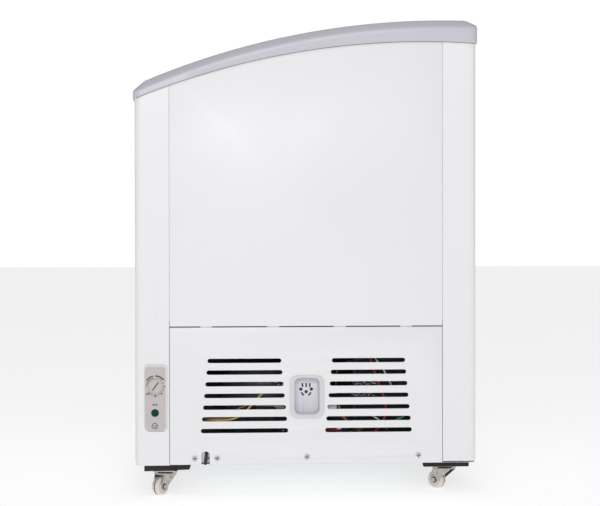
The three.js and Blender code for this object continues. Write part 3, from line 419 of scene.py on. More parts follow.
def tube(path, radius, sides=8, closed=False):
    """A round tube along points."""
    path = [Vector(p) for p in path]
    rings = []
    across = None
    for i, point in enumerate(path):
        before = path[i - 1] if closed or i > 0 else point
        after = path[(i + 1) % len(path)] if closed or i + 1 < len(path) else point
        forward = (after - before).normalized()
        if across is None:
            across = forward.orthogonal().normalized()
        across = (across - forward * across.dot(forward)).normalized()
        up = forward.cross(across)
        turns = [2 * math.pi * k / sides for k in range(sides)]
        rings.append([point + across * radius * math.cos(a) + up * radius * math.sin(a) for a in turns])
    return loft(rings, closed=closed)


def eased(path, steps=6):
    """A smooth curve through points, as more points."""
    points = [Vector(p) for p in path]
    points = [2 * points[0] - points[1], *points, 2 * points[-1] - points[-2]]
    curve = []
    for a, b, c, d in zip(points, points[1:], points[2:], points[3:]):
        for i in range(steps):
            t = i / steps
            curve.append(0.5 * ((2 * b) + (c - a) * t + (2 * a - 5 * b + 4 * c - d) * t * t
                                + (3 * b - a - 3 * c + d) * t ** 3))
    return [*curve, points[-2]]


def bent(path, radius, steps=4):
    """A path of straight runs with rounded bends."""
    points = [Vector(p) for p in path]
    made = [points[0]]
    for before, corner, after in zip(points, points[1:], points[2:]):
        start = corner + (before - corner).normalized() * radius
        end = corner + (after - corner).normalized() * radius
        for i in range(steps + 1):
            t = i / steps
            made.append(start * (1 - t) ** 2 + corner * 2 * t * (1 - t) + end * t * t)
    return [*made, points[-1]]


def in_scene(name, data):
    made = bpy.data.objects.new(name, data)
    bpy.context.scene.collection.objects.link(made)
    return made


def evaluated_mesh(made):
    return bpy.data.meshes.new_from_object(made.evaluated_get(bpy.context.evaluated_depsgraph_get()))


def fretted_sheet(outline, holes, x0, x1, bevel):
    """A flat sheet in the YZ plane with holes through it and softened edges."""
    curve = bpy.data.curves.new("sheet", "CURVE")
    curve.dimensions = "2D"
    curve.fill_mode = "BOTH"
    curve.extrude = (x1 - x0) / 2 - bevel
    curve.bevel_depth = bevel
    curve.bevel_resolution = 1
    curve.offset = -bevel
    for loop in [outline, *holes]:
        spline = curve.splines.new("POLY")
        spline.points.add(len(loop) - 1)
        for point, (y, z) in zip(spline.points, loop):
            point.co = (y, z, 0, 1)
        spline.use_cyclic_u = True
    holder = in_scene("sheet", curve)
    made = evaluated_mesh(holder)
    centre = (x0 + x1) / 2
    points = [Vector((centre + v.co.z, v.co.x, v.co.y)) for v in made.vertices]
    faces = [tuple(p.vertices) for p in made.polygons]
    bpy.data.objects.remove(holder)
    bpy.data.meshes.remove(made)
    return points, faces


# ---------------------------------------------------------------- pieces


MERGE = 0.00001  # metres
BEVEL_FROM = math.radians(34)  # edges sharper than this are softened


def new_mesh(name, points, faces):
    mesh = bpy.data.meshes.new(name)
    mesh.from_pydata([Vector(p) * MM for p in points], [], faces)
    return mesh


def reworked(mesh, *steps):
    """Runs bmesh steps over a mesh, in order."""
    work = bmesh.new()
    work.from_mesh(mesh)
    for step in steps:
        step(work)
    work.to_mesh(mesh)
    work.free()


def merge(distance):
    return lambda work: bmesh.ops.remove_doubles(work, verts=work.verts, dist=distance)


def drop_slivers(work):
    bmesh.ops.dissolve_degenerate(work, edges=work.edges, dist=MERGE / 2)


def face_outward(work):
    bmesh.ops.recalc_face_normals(work, faces=work.faces)


def join_flat_faces(work):
    bmesh.ops.dissolve_limit(work, angle_limit=math.radians(1.0), verts=work.verts, edges=work.edges)


def hand_over(made, body, replaced):
    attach(made, body)
    if replaced:
        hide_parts(*replaced)


class Piece:
    """Gathers shapes, then becomes one object that rides on a body."""

    def __init__(self, name):
        self.name = name
        self.points = []
        self.faces = []
        self.looks = []
        self.used = []

    def add(self, shape, look):
        points, faces = shape
        if look not in self.looks:
            self.looks.append(look)
        start = len(self.points)
        self.points += points
        self.faces += [tuple(start + i for i in face) for face in faces]
        self.used += [self.looks.index(look)] * len(faces)
        return self

    def finish(self, body, slot, replaces=(), bevel=0.0, angle=32.0, cuts=()):
        mesh = new_mesh(self.name, self.points, self.faces)
        mesh.polygons.foreach_set("material_index", self.used)
        for look in self.looks:
            mesh.materials.append(LOOKS[look].material)
        reworked(mesh, merge(MERGE), drop_slivers, face_outward)
        made = in_scene(self.name, mesh)
        for cutter in cuts:
            carve(made, cutter)
        shade(made, angle)
        if bevel:
            soften(made, bevel)
        hand_over(made, body, replaces)


def shade(made, angle):
    mesh = made.data
    mesh.polygons.foreach_set("use_smooth", [True] * len(mesh.polygons))
    mesh.set_sharp_from_angle(angle=math.radians(angle))


def soften(made, width):
    bevel = made.modifiers.new("edges", "BEVEL")
    bevel.width = width * MM
    bevel.segments = 2
    bevel.limit_method = "ANGLE"
    bevel.angle_limit = BEVEL_FROM
    bevel.harden_normals = True


def carve(made, shape):
    """Cuts a shape out of an object's mesh."""
    mesh = new_mesh("cutter", *shape)
    reworked(mesh, face_outward)
    cutter = in_scene("cutter", mesh)
    boolean = made.modifiers.new("cut", "BOOLEAN")
    boolean.object = cutter
    boolean.operation = "DIFFERENCE"
    boolean.solver = "EXACT"
    old = made.data
    made.data = evaluated_mesh(made)
    made.modifiers.clear()
    bpy.data.meshes.remove(old)
    bpy.data.objects.remove(cutter)
    bpy.data.meshes.remove(mesh)


def refined(node, look, body="cabinet", bevel=0.6, angle=38.0):
    """A CAD node's shape with merged corners, soft edges and smooth shading."""
    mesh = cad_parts[node].data.copy()
    reworked(mesh, merge(2 * MERGE), join_flat_faces)
    mesh.materials.clear()
    mesh.materials.append(LOOKS[look].material)
    mesh.polygons.foreach_set("material_index", [0] * len(mesh.polygons))
    made = in_scene(f"{node}_refined", mesh)
    shade(made, angle)
    if bevel:
        soften(made, bevel)
    hand_over(made, body, [node])


# ---------------------------------------------------------------- camera, light and floor

CAMERA_PLACE = (3.522, -0.1849, 0.4806)
CAMERA_YAW = math.radians(3.3)
CAMERA_PITCH = math.radians(-0.694)
CAMERA_ROLL = math.radians(-0.0683)
CAMERA_LENS = 98.92

BACKDROP = 1.02  # brightness of the backdrop in view
WORLD_LIGHT = 0.31  # what it casts on the object
KEY_LIGHT = 48.5
CREST_LIGHT = 5.0
OVERHEAD_LIGHT = 13.5
EDGE_LIGHT = 2.5
FLOOR_GLOW = 0.72
FLOOR_SIZE = 40
FLOOR_CORNER = 6
FLOOR_LEVEL = -0.0005  # just under the wheels

# Name, place, target, size and power of each lamp, in metres and watts
LIGHTS = [
    ("key", (4.8, -0.7, 1.75), (0.5, 0, 0.5), (2.0, 1.0), KEY_LIGHT),
    ("crest", (4.8, 0.5, 1.7), (0.5, 0.1, 0.8), (0.5, 0.25), CREST_LIGHT),
    ("overhead", (2.0, 0, 3.2), (0.4, 0, 0.85), (2.6, 1.0), OVERHEAD_LIGHT),
    ("left_edge", (2.0, -3.0, 1.2), (0.5, -0.3, 0.6), (0.3, 1.6), EDGE_LIGHT),
    ("right_edge", (2.2, 2.8, 1.6), (0.5, 0.3, 0.7), (0.3, 1.6), EDGE_LIGHT),
]


def add_camera():
    forward = Vector((-math.cos(CAMERA_YAW) * math.cos(CAMERA_PITCH),
                      math.sin(CAMERA_YAW) * math.cos(CAMERA_PITCH), math.sin(CAMERA_PITCH)))
    level = Vector((math.sin(CAMERA_YAW), math.cos(CAMERA_YAW), 0))
    up = level.cross(forward)
    right = level * math.cos(CAMERA_ROLL) + up * math.sin(CAMERA_ROLL)
    up = right.cross(forward)
    data = bpy.data.cameras.new("camera")
    data.lens = CAMERA_LENS
    data.sensor_width = 36
    data.clip_end = 60
    made = in_scene("camera", data)
    made.matrix_world = Matrix.Translation(CAMERA_PLACE) @ Matrix((right, up, -forward)).transposed().to_4x4()
    bpy.context.scene.camera = made


def area_light(name, place, target, size, power):
    data = bpy.data.lights.new(name, "AREA")
    data.shape = "RECTANGLE"
    data.size, data.size_y = size
    data.energy = power
    made = in_scene(name, data)
    made.location = place
    made.rotation_euler = (Vector(target) - Vector(place)).to_track_quat("-Z", "Y").to_euler()


def add_studio():
    scene = bpy.context.scene
    scene.view_settings.view_transform = "Standard"
    scene.world = bpy.data.worlds.new("studio")
    scene.world.use_nodes = True
    tree = scene.world.node_tree
    background = tree.nodes["Background"]
    background.inputs["Color"].default_value = (1, 1, 1, 1)
    seen = tree.nodes.new("ShaderNodeLightPath").outputs["Is Camera Ray"]
    strength = tree.nodes.new("ShaderNodeMapRange")
    strength.inputs["To Min"].default_value = WORLD_LIGHT
    strength.inputs["To Max"].default_value = BACKDROP
    tree.links.new(seen, strength.inputs["Value"])
    tree.links.new(strength.outputs["Result"], background.inputs["Strength"])
    for light in LIGHTS:
        area_light(*light)


def add_floor():
    """A wide pale floor with softened corners."""
    made = Surface("studio_floor", (0.45, 0.45, 0.45), 0.9)
    made.mottled(0.01, 900).uneven(0.03, 700)
    made.shader.inputs["Emission Color"].default_value = (1, 1, 1, 1)
    made.shader.inputs["Emission Strength"].default_value = FLOOR_GLOW
    mesh = bpy.data.meshes.new("floor")
    outline = rounded_rectangle(0, 0, FLOOR_SIZE, FLOOR_SIZE, FLOOR_CORNER)
    mesh.from_pydata([(x, y, FLOOR_LEVEL) for x, y in outline], [], [tuple(range(len(outline)))])
    mesh.materials.append(made.material)
    in_scene("floor", mesh)


# ---------------------------------------------------------------- cabinet sheets

HEM = 8.0
PANEL_CORNERS = {"front_panel": 8.0, "rear_panel": 3.0}  # radius of the lower corners, seen from the end
PANEL_STATIONS = (-500, -490, -483, -430, 430, 483, 490, 500)  # x along a long side
CORNER_EASE = 0.3  # how softly a lower corner's curve runs out along the long side
SHAFT_HOLE = 4.0
SEAM_BACKING = (520.55, 520.75)  # the folded edge seen through a seam, just behind the sheets, in a grey darker than the panel as painted shade in the seam
SEAM_BACKING_HALF = 3.0
# height of the dark block painted as shadow at each seam's foot
SEAM_FOOT_SHADOW = 10.0
PANEL_TABS_Y = (-183.0, -61.0, 61.0, 183.0)
TAB_HALF_WIDTH = 10.8
TAB_HALF_THICKNESS = 0.45


def wrapped_path(side):
    """Plan points and inward directions along a panel that wraps two corners, seam to seam."""
    corner_x, corner_y = BODY_X - CORNER_RADIUS, BODY_Y - CORNER_RADIUS
    path = [((-BODY_X, -y), (1.0, 0.0)) for y in spaced(SEAM_Y, corner_y, 5)]
    for sign, start in ((-1, 180), (1, 270)):
        for a in spaced(start, start + 90, 11)[(1 if sign < 0 else 0):]:
            turn = math.radians(a)
            normal = (math.cos(turn), math.sin(turn))
            spot = (sign * corner_x + CORNER_RADIUS * normal[0], -corner_y + CORNER_RADIUS * normal[1])
            path.append((spot, (-normal[0], -normal[1])))
        if sign < 0:
            path += [((x, -BODY_Y), (0.0, 1.0)) for x in PANEL_STATIONS]
    path += [((BODY_X, -y), (-1.0, 0.0)) for y in spaced(corner_y, SEAM_Y, 5)[1:]]
    return [((x, -side * y), (nx, -side * ny)) for (x, y), (nx, ny) in path]


def corner_rise(x, y, radius):
    """How far the lower edge curves up towards a corner's outermost line."""
    if abs(x) >= BODY_X - CORNER_RADIUS:
        reach = BODY_Y - abs(y)
    else:
        reach = (BODY_X - CORNER_RADIUS - abs(x)) * CORNER_EASE
    if reach >= radius:
        return 0.0
    return radius - math.sqrt(radius ** 2 - (radius - reach) ** 2)


def wrapped_panel(name, side, bottom, corner):
    """A sheet with a bent hem along its lower edge."""
    rings = []
    section = [(0, 1.6), (0.4, 0.5), (1.6, 0), (HEM, 0), (HEM, 0.8), (2.2, 0.8), (SHEET, 1.8)]
    for (x, y), (nx, ny) in wrapped_path(side):
        top = arc_z(SKIRT, y) + PANEL_RISE
        low = bottom - 0.9 + corner_rise(x, y, corner)
        heights = [(0, top)] + [(d, low + h) for d, h in section] + [(SHEET, top)]
        rings.append([(x + nx * d, y + ny * d, z) for d, z in heights])
    return Piece(name).add(loft(rings), "panel")


def add_wrapped_panels():
    shaft_hole = prism(circle(*middle("thermostat_dial"), SHAFT_HOLE), 500, 530, "x")
    for name, side, cuts in (("front_panel", -1, [shaft_hole]), ("rear_panel", 1, [])):
        sheet = wrapped_panel(f"{name}_sheet", side, box_mm(name)[0].z, PANEL_CORNERS[name])
        sheet.finish("cabinet", "panel_white", [name], bevel=0.35, cuts=cuts)


def curved_top(edge, count=26):
    """The top edge of an end panel, from +y to -y."""
    return [(y, arc_z(SKIRT, y) + PANEL_RISE) for y in spaced(edge, -edge, count)]


def add_end_panels():
    for name, side in (("left_end_panel", -1), ("upper_end_panel", 1)):
        bottom = box_mm(name)[0].z
        edge = PANEL_EDGE_Y
        outline = [(-edge, bottom), (edge, bottom), *curved_top(edge)]
        outer = side * BODY_X
        x0, x1 = sorted((outer, outer - side * SHEET))
        piece = Piece(f"{name}_sheet")
        piece.add(fretted_sheet(outline, [], x0, x1, 0.45), "panel")
        # Behind each seam, a strip of the folded edge painted grey as shade in the seam, and at its foot a
        # dark block painted as shadow
        backing = sorted(side * x for x in SEAM_BACKING)
        for y in (-SEAM_Y, SEAM_Y):
            across = (y - SEAM_BACKING_HALF, y + SEAM_BACKING_HALF)
            piece.add(block(*backing, *across, bottom + SEAM_FOOT_SHADOW, arc_z(SKIRT, y)), "seam_fold_shade")
            piece.add(block(*backing, *across, bottom + 1, bottom + SEAM_FOOT_SHADOW), "painted_shadow")
        if side > 0:
            hem = block(510, 520.8, -edge + 2, edge - 2, bottom, bottom + 0.9)
            piece.add(hem, "panel")
        piece.finish("cabinet", "panel_white", [name])


def vent_slots():
    slots = []
    for row in range(SLOT_ROWS):
        z = SLOT_TOP_Z - row * SLOT_PITCH
        half = (lerp(*SLOT_LENGTHS, row / (SLOT_ROWS - 1)) - SLOT_HEIGHT) / 2
        for y in (-SLOT_GROUP_Y, SLOT_GROUP_Y):
            slots.append(stadium(y - half, y + half, z, SLOT_HEIGHT / 2))
    return slots


def add_machine_cover():
    low, high = box_mm("machine_cover")
    edge = PANEL_EDGE_Y
    notch = arc_points(NOTCH_Y, NOTCH_TOP - NOTCH_HALF, NOTCH_HALF, 180, 0, 14)
    outline = [(-edge, low.z), (NOTCH_Y - NOTCH_HALF, low.z), *notch, (NOTCH_Y + NOTCH_HALF, low.z),
               (edge, low.z), (edge, high.z), (-edge, high.z)]
    dock_z = middle("plug_dock")[1] + DOCK_OPENING_RISE
    dock_hole = rounded_rectangle(DOCK_Y, dock_z, 49.6, 70.8, 12.6)
    holes = [*vent_slots(), dock_hole, *[circle(y, z, 2.4, 12) for y, z in COVER_SCREWS]]
    piece = Piece("machine_cover_sheet")
    piece.add(fretted_sheet(outline, holes, BODY_X - SHEET, BODY_X, 0.42), "panel")
    inner = BODY_X - SHEET + 0.1
    piece.add(block(low.x, inner, -edge, edge, high.z - 1.0, high.z - 0.1), "panel")
    for side in (-1, 1):
        y0, y1 = sorted((side * (edge - 0.1), side * (edge - 1.0)))
        piece.add(block(low.x, inner, y0, y1, 63, high.z - 0.5), "panel")
    for y in PANEL_TABS_Y:
        tab = bent([(505, y, high.z - 0.6), (519.6, y, high.z - 0.6), (519.6, y, high.z + 9)], 1.2)
        corners = [(TAB_HALF_THICKNESS * u, y + TAB_HALF_WIDTH * v)
                   for u, v in ((-1, -1), (1, -1), (1, 1), (-1, 1))]
        piece.add(loft([[(p.x + shift, v, p.z + shift) for shift, v in corners] for p in tab]), "panel")
    piece.finish("cabinet", "panel_white", ["machine_cover"])


# ---------------------------------------------------------------- top frame


CREST_FLAT = (45.0, 68.8)  # two points across the frame's flat top, in from its outer face
SKIRT_INSIDE = 2.7
GROOVE_FROM = 57.0  # inward from the outer face to the grooves' floors
GROOVE_SLACK = 0.8
LEG_OUTSIDE = 53.3
END_LEG_OUTSIDE = 461.7
CREST_CORNER = 5.0
SKIRT_SHADOW_X = (522.1, 523.2)  # the dark strip painted as the shadow line under an end rail's skirt


def rail_section(drop, bevel):
    """The outer part of the frame's section: (inward share, arc, height) with both creases rounded."""
    slope = math.atan2(drop, bevel)
    made = [(0.4, SKIRT, 0.0), (0.0, SKIRT, 0.5), (0.0, CREST, -drop - 3.2), (0.15, CREST, -drop - 1.7)]
    made += [(0.7, CREST, -drop - 0.35), (1.9, CREST, -drop + 1.9 * math.tan(slope))]
    made += [(bevel - 3.4, CREST, -3.4 * math.tan(slope)), (bevel - 1.2, CREST, -0.95)]
    made += [(bevel + 1.2, CREST, -0.22), (bevel + 4.0, CREST, 0.0)]
    return made


def rail_ring(outer, crest, inner, section, bevel):
    """Section points put between three plan points: the outer face, the crest and the inner edge."""
    ring = []
    for depth, arc, height in section:
        if depth <= bevel:
            share = depth / bevel
            x, y = lerp(outer[0], crest[0], share), lerp(outer[1], crest[1], share)
        else:
            share = (depth - bevel) / (RAIL_WIDTH - bevel)
            x, y = lerp(crest[0], inner[0], share), lerp(crest[1], inner[1], share)
        ring.append((x, y, arc_z(arc, y) + height))
    return ring


def add_side_rails():
    grooves = []
    for top in (UPPER_LID_TOP, LOWER_LID_TOP):
        low, high = -top - GLASS - GROOVE_SLACK, -top + GROOVE_SLACK
        grooves += [(RAIL_WIDTH, CREST, high), (GROOVE_FROM, CREST, high), (GROOVE_FROM, CREST, low),
                    (RAIL_WIDTH, CREST, low)]
    section = [*rail_section(SIDE_DROP, SIDE_BEVEL), *[(inward, CREST, 0.0) for inward in CREST_FLAT],
               (RAIL_WIDTH, CREST, -1.2), *grooves, (RAIL_WIDTH, CREST, -LEG_DEPTH),
               (LEG_OUTSIDE, CREST, -LEG_DEPTH), (LEG_OUTSIDE, SKIRT, RAIL_RISE),
               (SKIRT_INSIDE, SKIRT, RAIL_RISE), (SKIRT_INSIDE, SKIRT, 0)]
    for name, side in (("front_rail", -1), ("rear_rail", 1)):
        rings = []
        for x in spaced(-RAIL_JOINT_X + 0.3, RAIL_JOINT_X - 0.3, 2):
            outer, crest, inner = [(x, side * (FRAME_Y - d)) for d in (0, SIDE_BEVEL, RAIL_WIDTH)]
            rings.append(rail_ring(outer, crest, inner, section, SIDE_BEVEL))
        Piece(f"{name}_moulding").add(loft(rings), "trim").finish("cabinet", "trim_grey", [name], angle=40)


def end_rail_stations():
    """Plan points and bevel drop round an end of the frame, from the front joint to the back one."""
    inner_y = FRAME_Y - RAIL_WIDTH
    corner = (FRAME_X - FRAME_CORNER, FRAME_Y - FRAME_CORNER)
    crest_at = (FRAME_X - END_BEVEL - CREST_CORNER, FRAME_Y - SIDE_BEVEL - CREST_CORNER)
    half = []
    for x in spaced(RAIL_JOINT_X, corner[0], 4)[:-1]:
        crest_x = lerp(RAIL_JOINT_X, crest_at[0], (x - RAIL_JOINT_X) / (corner[0] - RAIL_JOINT_X))
        half.append(((x, FRAME_Y), (crest_x, FRAME_Y - SIDE_BEVEL), (RAIL_JOINT_X, inner_y), SIDE_DROP))
    for a in spaced(90, 0, 13):
        turn = math.radians(a)
        outer = (corner[0] + FRAME_CORNER * math.cos(turn), corner[1] + FRAME_CORNER * math.sin(turn))
        crest = (crest_at[0] + CREST_CORNER * math.cos(turn), crest_at[1] + CREST_CORNER * math.sin(turn))
        half.append((outer, crest, (RAIL_JOINT_X, inner_y), lerp(END_DROP, SIDE_DROP, a / 90)))
    stretch = []
    for y in spaced(corner[1], -corner[1], 30)[1:-1]:
        share = y / corner[1]
        crest = (FRAME_X - END_BEVEL, share * crest_at[1])
        stretch.append(((FRAME_X, y), crest, (RAIL_JOINT_X, share * inner_y), END_DROP))
    mirrored = [((o[0], -o[1]), (c[0], -c[1]), (i[0], -i[1]), drop) for o, c, i, drop in reversed(half)]
    return [*half, *stretch, *mirrored]


def upright_ring(side, y, x0, x1, z0, z1):
    """A rectangle across the end rail at a depth y."""
    return [(side * x, y, z) for x, z in ((x0, z0), (x1, z0), (x1, z1), (x0, z1))]


def add_end_rails():
    for name, side in (("left_end_rail", -1), ("right_end_rail", 1)):
        rings = []
        for outer, crest, inner, drop in end_rail_stations():
            section = [*rail_section(drop, END_BEVEL), *[(inward, CREST, 0.0) for inward in CREST_FLAT],
                       (RAIL_WIDTH, CREST, -1.2), (RAIL_WIDTH, SKIRT, RAIL_RISE),
                       (SKIRT_INSIDE, SKIRT, RAIL_RISE), (SKIRT_INSIDE, SKIRT, 0.0)]
            ring = rail_ring(outer, crest, inner, section, END_BEVEL)
            rings.append([(side * x, y, z) for x, y, z in ring])
        piece = Piece(f"{name}_moulding").add(loft(rings), "trim")
        skirt_shadow, leg = [], []
        # A thin dark strip just under the skirt, painted as its shadow line
        for y in spaced(-309, 309, 60):
            low = arc_z(SKIRT, y) - 0.8
            skirt_shadow.append(upright_ring(side, y, *SKIRT_SHADOW_X, low, low + 1))
        for y in spaced(-244.7, 244.7, 20):
            low, high = arc_z(CREST, y) - LEG_DEPTH, arc_z(SKIRT, y) + RAIL_RISE + 0.5
            leg.append(upright_ring(side, y, RAIL_JOINT_X, END_LEG_OUTSIDE, low, high))
        piece.add(loft(skirt_shadow), "painted_shadow").add(loft(leg), "trim")
        piece.finish("cabinet", "trim_grey", [name], angle=40)


# ---------------------------------------------------------------- lids


def curved_bar(section, y0, y1, count):
    """A section of (x, depth below the crest arc) drawn along the curve of the top."""
    return loft([[(x, y, arc_z(CREST, y) - depth) for x, depth in section] for y in spaced(y0, y1, count)])


def sheet_section(x0, x1, top, bottom, edge):
    return [(x0, top + edge), (x0 + edge, top), (x1 - edge, top), (x1, top + edge),
            (x1, bottom - edge), (x1 - edge, bottom), (x0 + edge, bottom), (x0, bottom - edge)]


def add_glass(lid, depth):
    low, high = box_mm(f"{lid}_glass")
    section = sheet_section(low.x, high.x, depth, depth + GLASS, 0.7)
    piece = Piece(f"{lid}_curved_glass").add(curved_bar(section, low.y, high.y, 33), "glass")
    piece.finish(lid, "glass", [f"{lid}_glass"], angle=50)


TRIM_REACH = 243.0
TRIM_LAP = 13.0  # how far a trim covers the glass
TRIM_GAP = 0.3
PULL_DEPTH = 8.6
PULL_HALF = 58.0
PULL_RAMP = 9.0


def trim_rings(x0, x1, glass_side, glass_top, pull):
    """Rings of a lid trim: a channel over the glass's edge, with a finger pull sunk into its top."""
    rings = []
    width = x1 - x0
    top, bottom = glass_top - TRIM_WALL, glass_top + GLASS + TRIM_WALL
    slot_top, slot_bottom = glass_top - TRIM_GAP, glass_top + GLASS + TRIM_GAP
    slot_end = width - TRIM_LAP - TRIM_GAP
    for y in sorted({*spaced(-TRIM_REACH, TRIM_REACH, 25), *spaced(-PULL_HALF, PULL_HALF, 25)}):
        sunk = pull * smooth_step((PULL_HALF - abs(y)) / PULL_RAMP)
        profile = [(0.0, 1.4), (0.5, 0.4), (1.6, 0.0)]
        if pull:
            profile += [(4.0, 0.0), (5.0, sunk * 0.5), (6.5, sunk * 0.95), (14.0, sunk), (20.0, sunk * 0.85),
                        (23.0, 0.0)]
        profile += [(width - 1.2, 0.0), (width, 1.2)]
        across = [(u, top + d) for u, d in profile]
        across += [(width, slot_top), (slot_end, slot_top), (slot_end, slot_bottom), (width, slot_bottom),
                   (width, bottom - 0.8), (width - 0.8, bottom), (0.8, bottom), (0.0, bottom - 0.8)]
        place = (lambda u: x0 + u) if glass_side > 0 else (lambda u: x1 - u)
        rings.append([(place(u), y, arc_z(CREST, y) - depth) for u, depth in across])
    return rings


def add_lids():
    for lid, depth, outer_side in (("lower_lid", LOWER_LID_TOP, -1), ("upper_lid", UPPER_LID_TOP, 1)):
        add_glass(lid, depth)
        trims = (("outer_trim", -outer_side, PULL_DEPTH), ("inner_trim", outer_side, 0.0))
        for part, glass_side, pull in trims:
            node = f"{lid}_{part}"
            low, high = box_mm(node)
            rings = trim_rings(low.x, high.x, glass_side, depth, pull)
            piece = Piece(f"{node}_profile").add(loft(rings), "lid_trim")
            if node == "lower_lid_outer_trim":  # the upper lid has no room for a seal over the lower one
                foot = depth + GLASS
                seal = sheet_section(low.x + 1.5, low.x + 8.5, foot + TRIM_WALL - 0.2, foot + 6.2, 0.8)
                piece.add(curved_bar(seal, -240, 240, 25), "rubber")
            piece.finish(lid, "lid_trim", [node], angle=40)


# ---------------------------------------------------------------- baskets


BASKET_Y = 242.0
WIRE = 1.6  # radius
RIM_WIRE = 2.6
BASKET_HOOPS = (40.0, 80.0, 120.0)  # heights above the foot
HANGER = {"inset": 14.0, "start": (240.4, 694.6), "out": (256.0, 692.6), "radius": 2.2}


def add_baskets():
    for name in ("left_basket", "right_basket"):
        low, high = box_mm(name)
        x0, x1 = low.x, high.x
        piece = Piece(f"{name}_wires")
        hoops = [(low.z + rise, WIRE, 2 * WIRE) for rise in BASKET_HOOPS]
        hoops += [(high.z - RIM_WIRE, RIM_WIRE, RIM_WIRE), (low.z + RIM_WIRE, RIM_WIRE, RIM_WIRE)]
        for z, radius, inset in hoops:
            outline = rounded_rectangle((x0 + x1) / 2, 0, x1 - x0 - 2 * inset, 2 * (BASKET_Y - inset), 14.0)
            piece.add(tube([(x, y, z) for x, y in outline], radius, 8, closed=True), "basket")
        side = 2 * WIRE + 0.6
        rim_z = high.z - RIM_WIRE
        floor_z = low.z + 2 * RIM_WIRE + WIRE - 1.0
        edge_y = BASKET_Y - side
        runs = []
        for x in spaced(x0 + 24, x1 - 24, 9):
            runs.append([(x, -edge_y, rim_z), (x, -edge_y, floor_z), (x, edge_y, floor_z),
                         (x, edge_y, rim_z)])
        for y in spaced(-BASKET_Y + 28, BASKET_Y - 28, 14):
            runs.append([(x0 + side, y, rim_z), (x0 + side, y, floor_z), (x1 - side, y, floor_z),
                         (x1 - side, y, rim_z)])
        for run in runs:
            piece.add(tube(bent(run, 12), WIRE, 6), "basket")
        (start_y, start_z), (out_y, out_z) = HANGER["start"], HANGER["out"]
        near, far = x0 + HANGER["inset"], x1 - HANGER["inset"]
        for sign in (-1, 1):
            hanger = [(near, sign * start_y, start_z), (near, sign * out_y, out_z),
                      (far, sign * out_y, out_z), (far, sign * start_y, start_z)]
            piece.add(tube(bent(hanger, 7), HANGER["radius"], 8), "basket")
        piece.finish(name, "basket_white", [name], angle=60)


# ---------------------------------------------------------------- plug dock


DOCK_DEPTH = 32.0
DOCK_OPENING = (48.6, 69.8, 12.1)  # width, height and corner radius of the recess at its mouth
DOCK_DRAFT = 5.0  # how much narrower the recess is at its back
PINS_DROP = 2.6
# how far below the back wall's face the black fill in the openings stops; the fill is painted shade
SHADE_FILL_INSET = 0.4
FINGER_GROOVE_RADIUS = 10.0
FINGER_GROOVE = ((140.0, 3.2), (156.0, 2.8), (168.0, 1.6), (177.0, -0.2))  # height and depth


def dock_ring(x, outline, z, smaller=0.0):
    """A rounded outline of the dock at x, drawn in by an amount on its width and its height."""
    width, height, corner = outline
    ring = rounded_rectangle(DOCK_Y, z, width - smaller, height - smaller, corner, 8)
    return [(x, y, ring_z) for y, ring_z in ring]


def socket_openings(z):
    """Outlines of a generic socket's openings: three round, three upright and two slanting."""
    openings = [circle(DOCK_Y + dy, z + dz, 3.1, 14) for dy, dz in ((-9.8, 14), (9.8, 14), (0, 9.3))]
    for dy in (-6.8, 0, 6.8):
        openings.append([(v, u) for u, v in stadium(z + 19.0, z + 24, DOCK_Y + dy, 1.5, 5)])
    for side in (-1, 1):
        top, foot = Vector((DOCK_Y + side * 8.8, z + 8)), Vector((DOCK_Y + side * 4.4, z + 2.3))
        along = (foot - top).normalized()
        across = Vector((-along.y, along.x)) * 1.5
        openings.append([tuple(p) for p in (top + across, foot + across, foot - across, top - across)])
    return openings


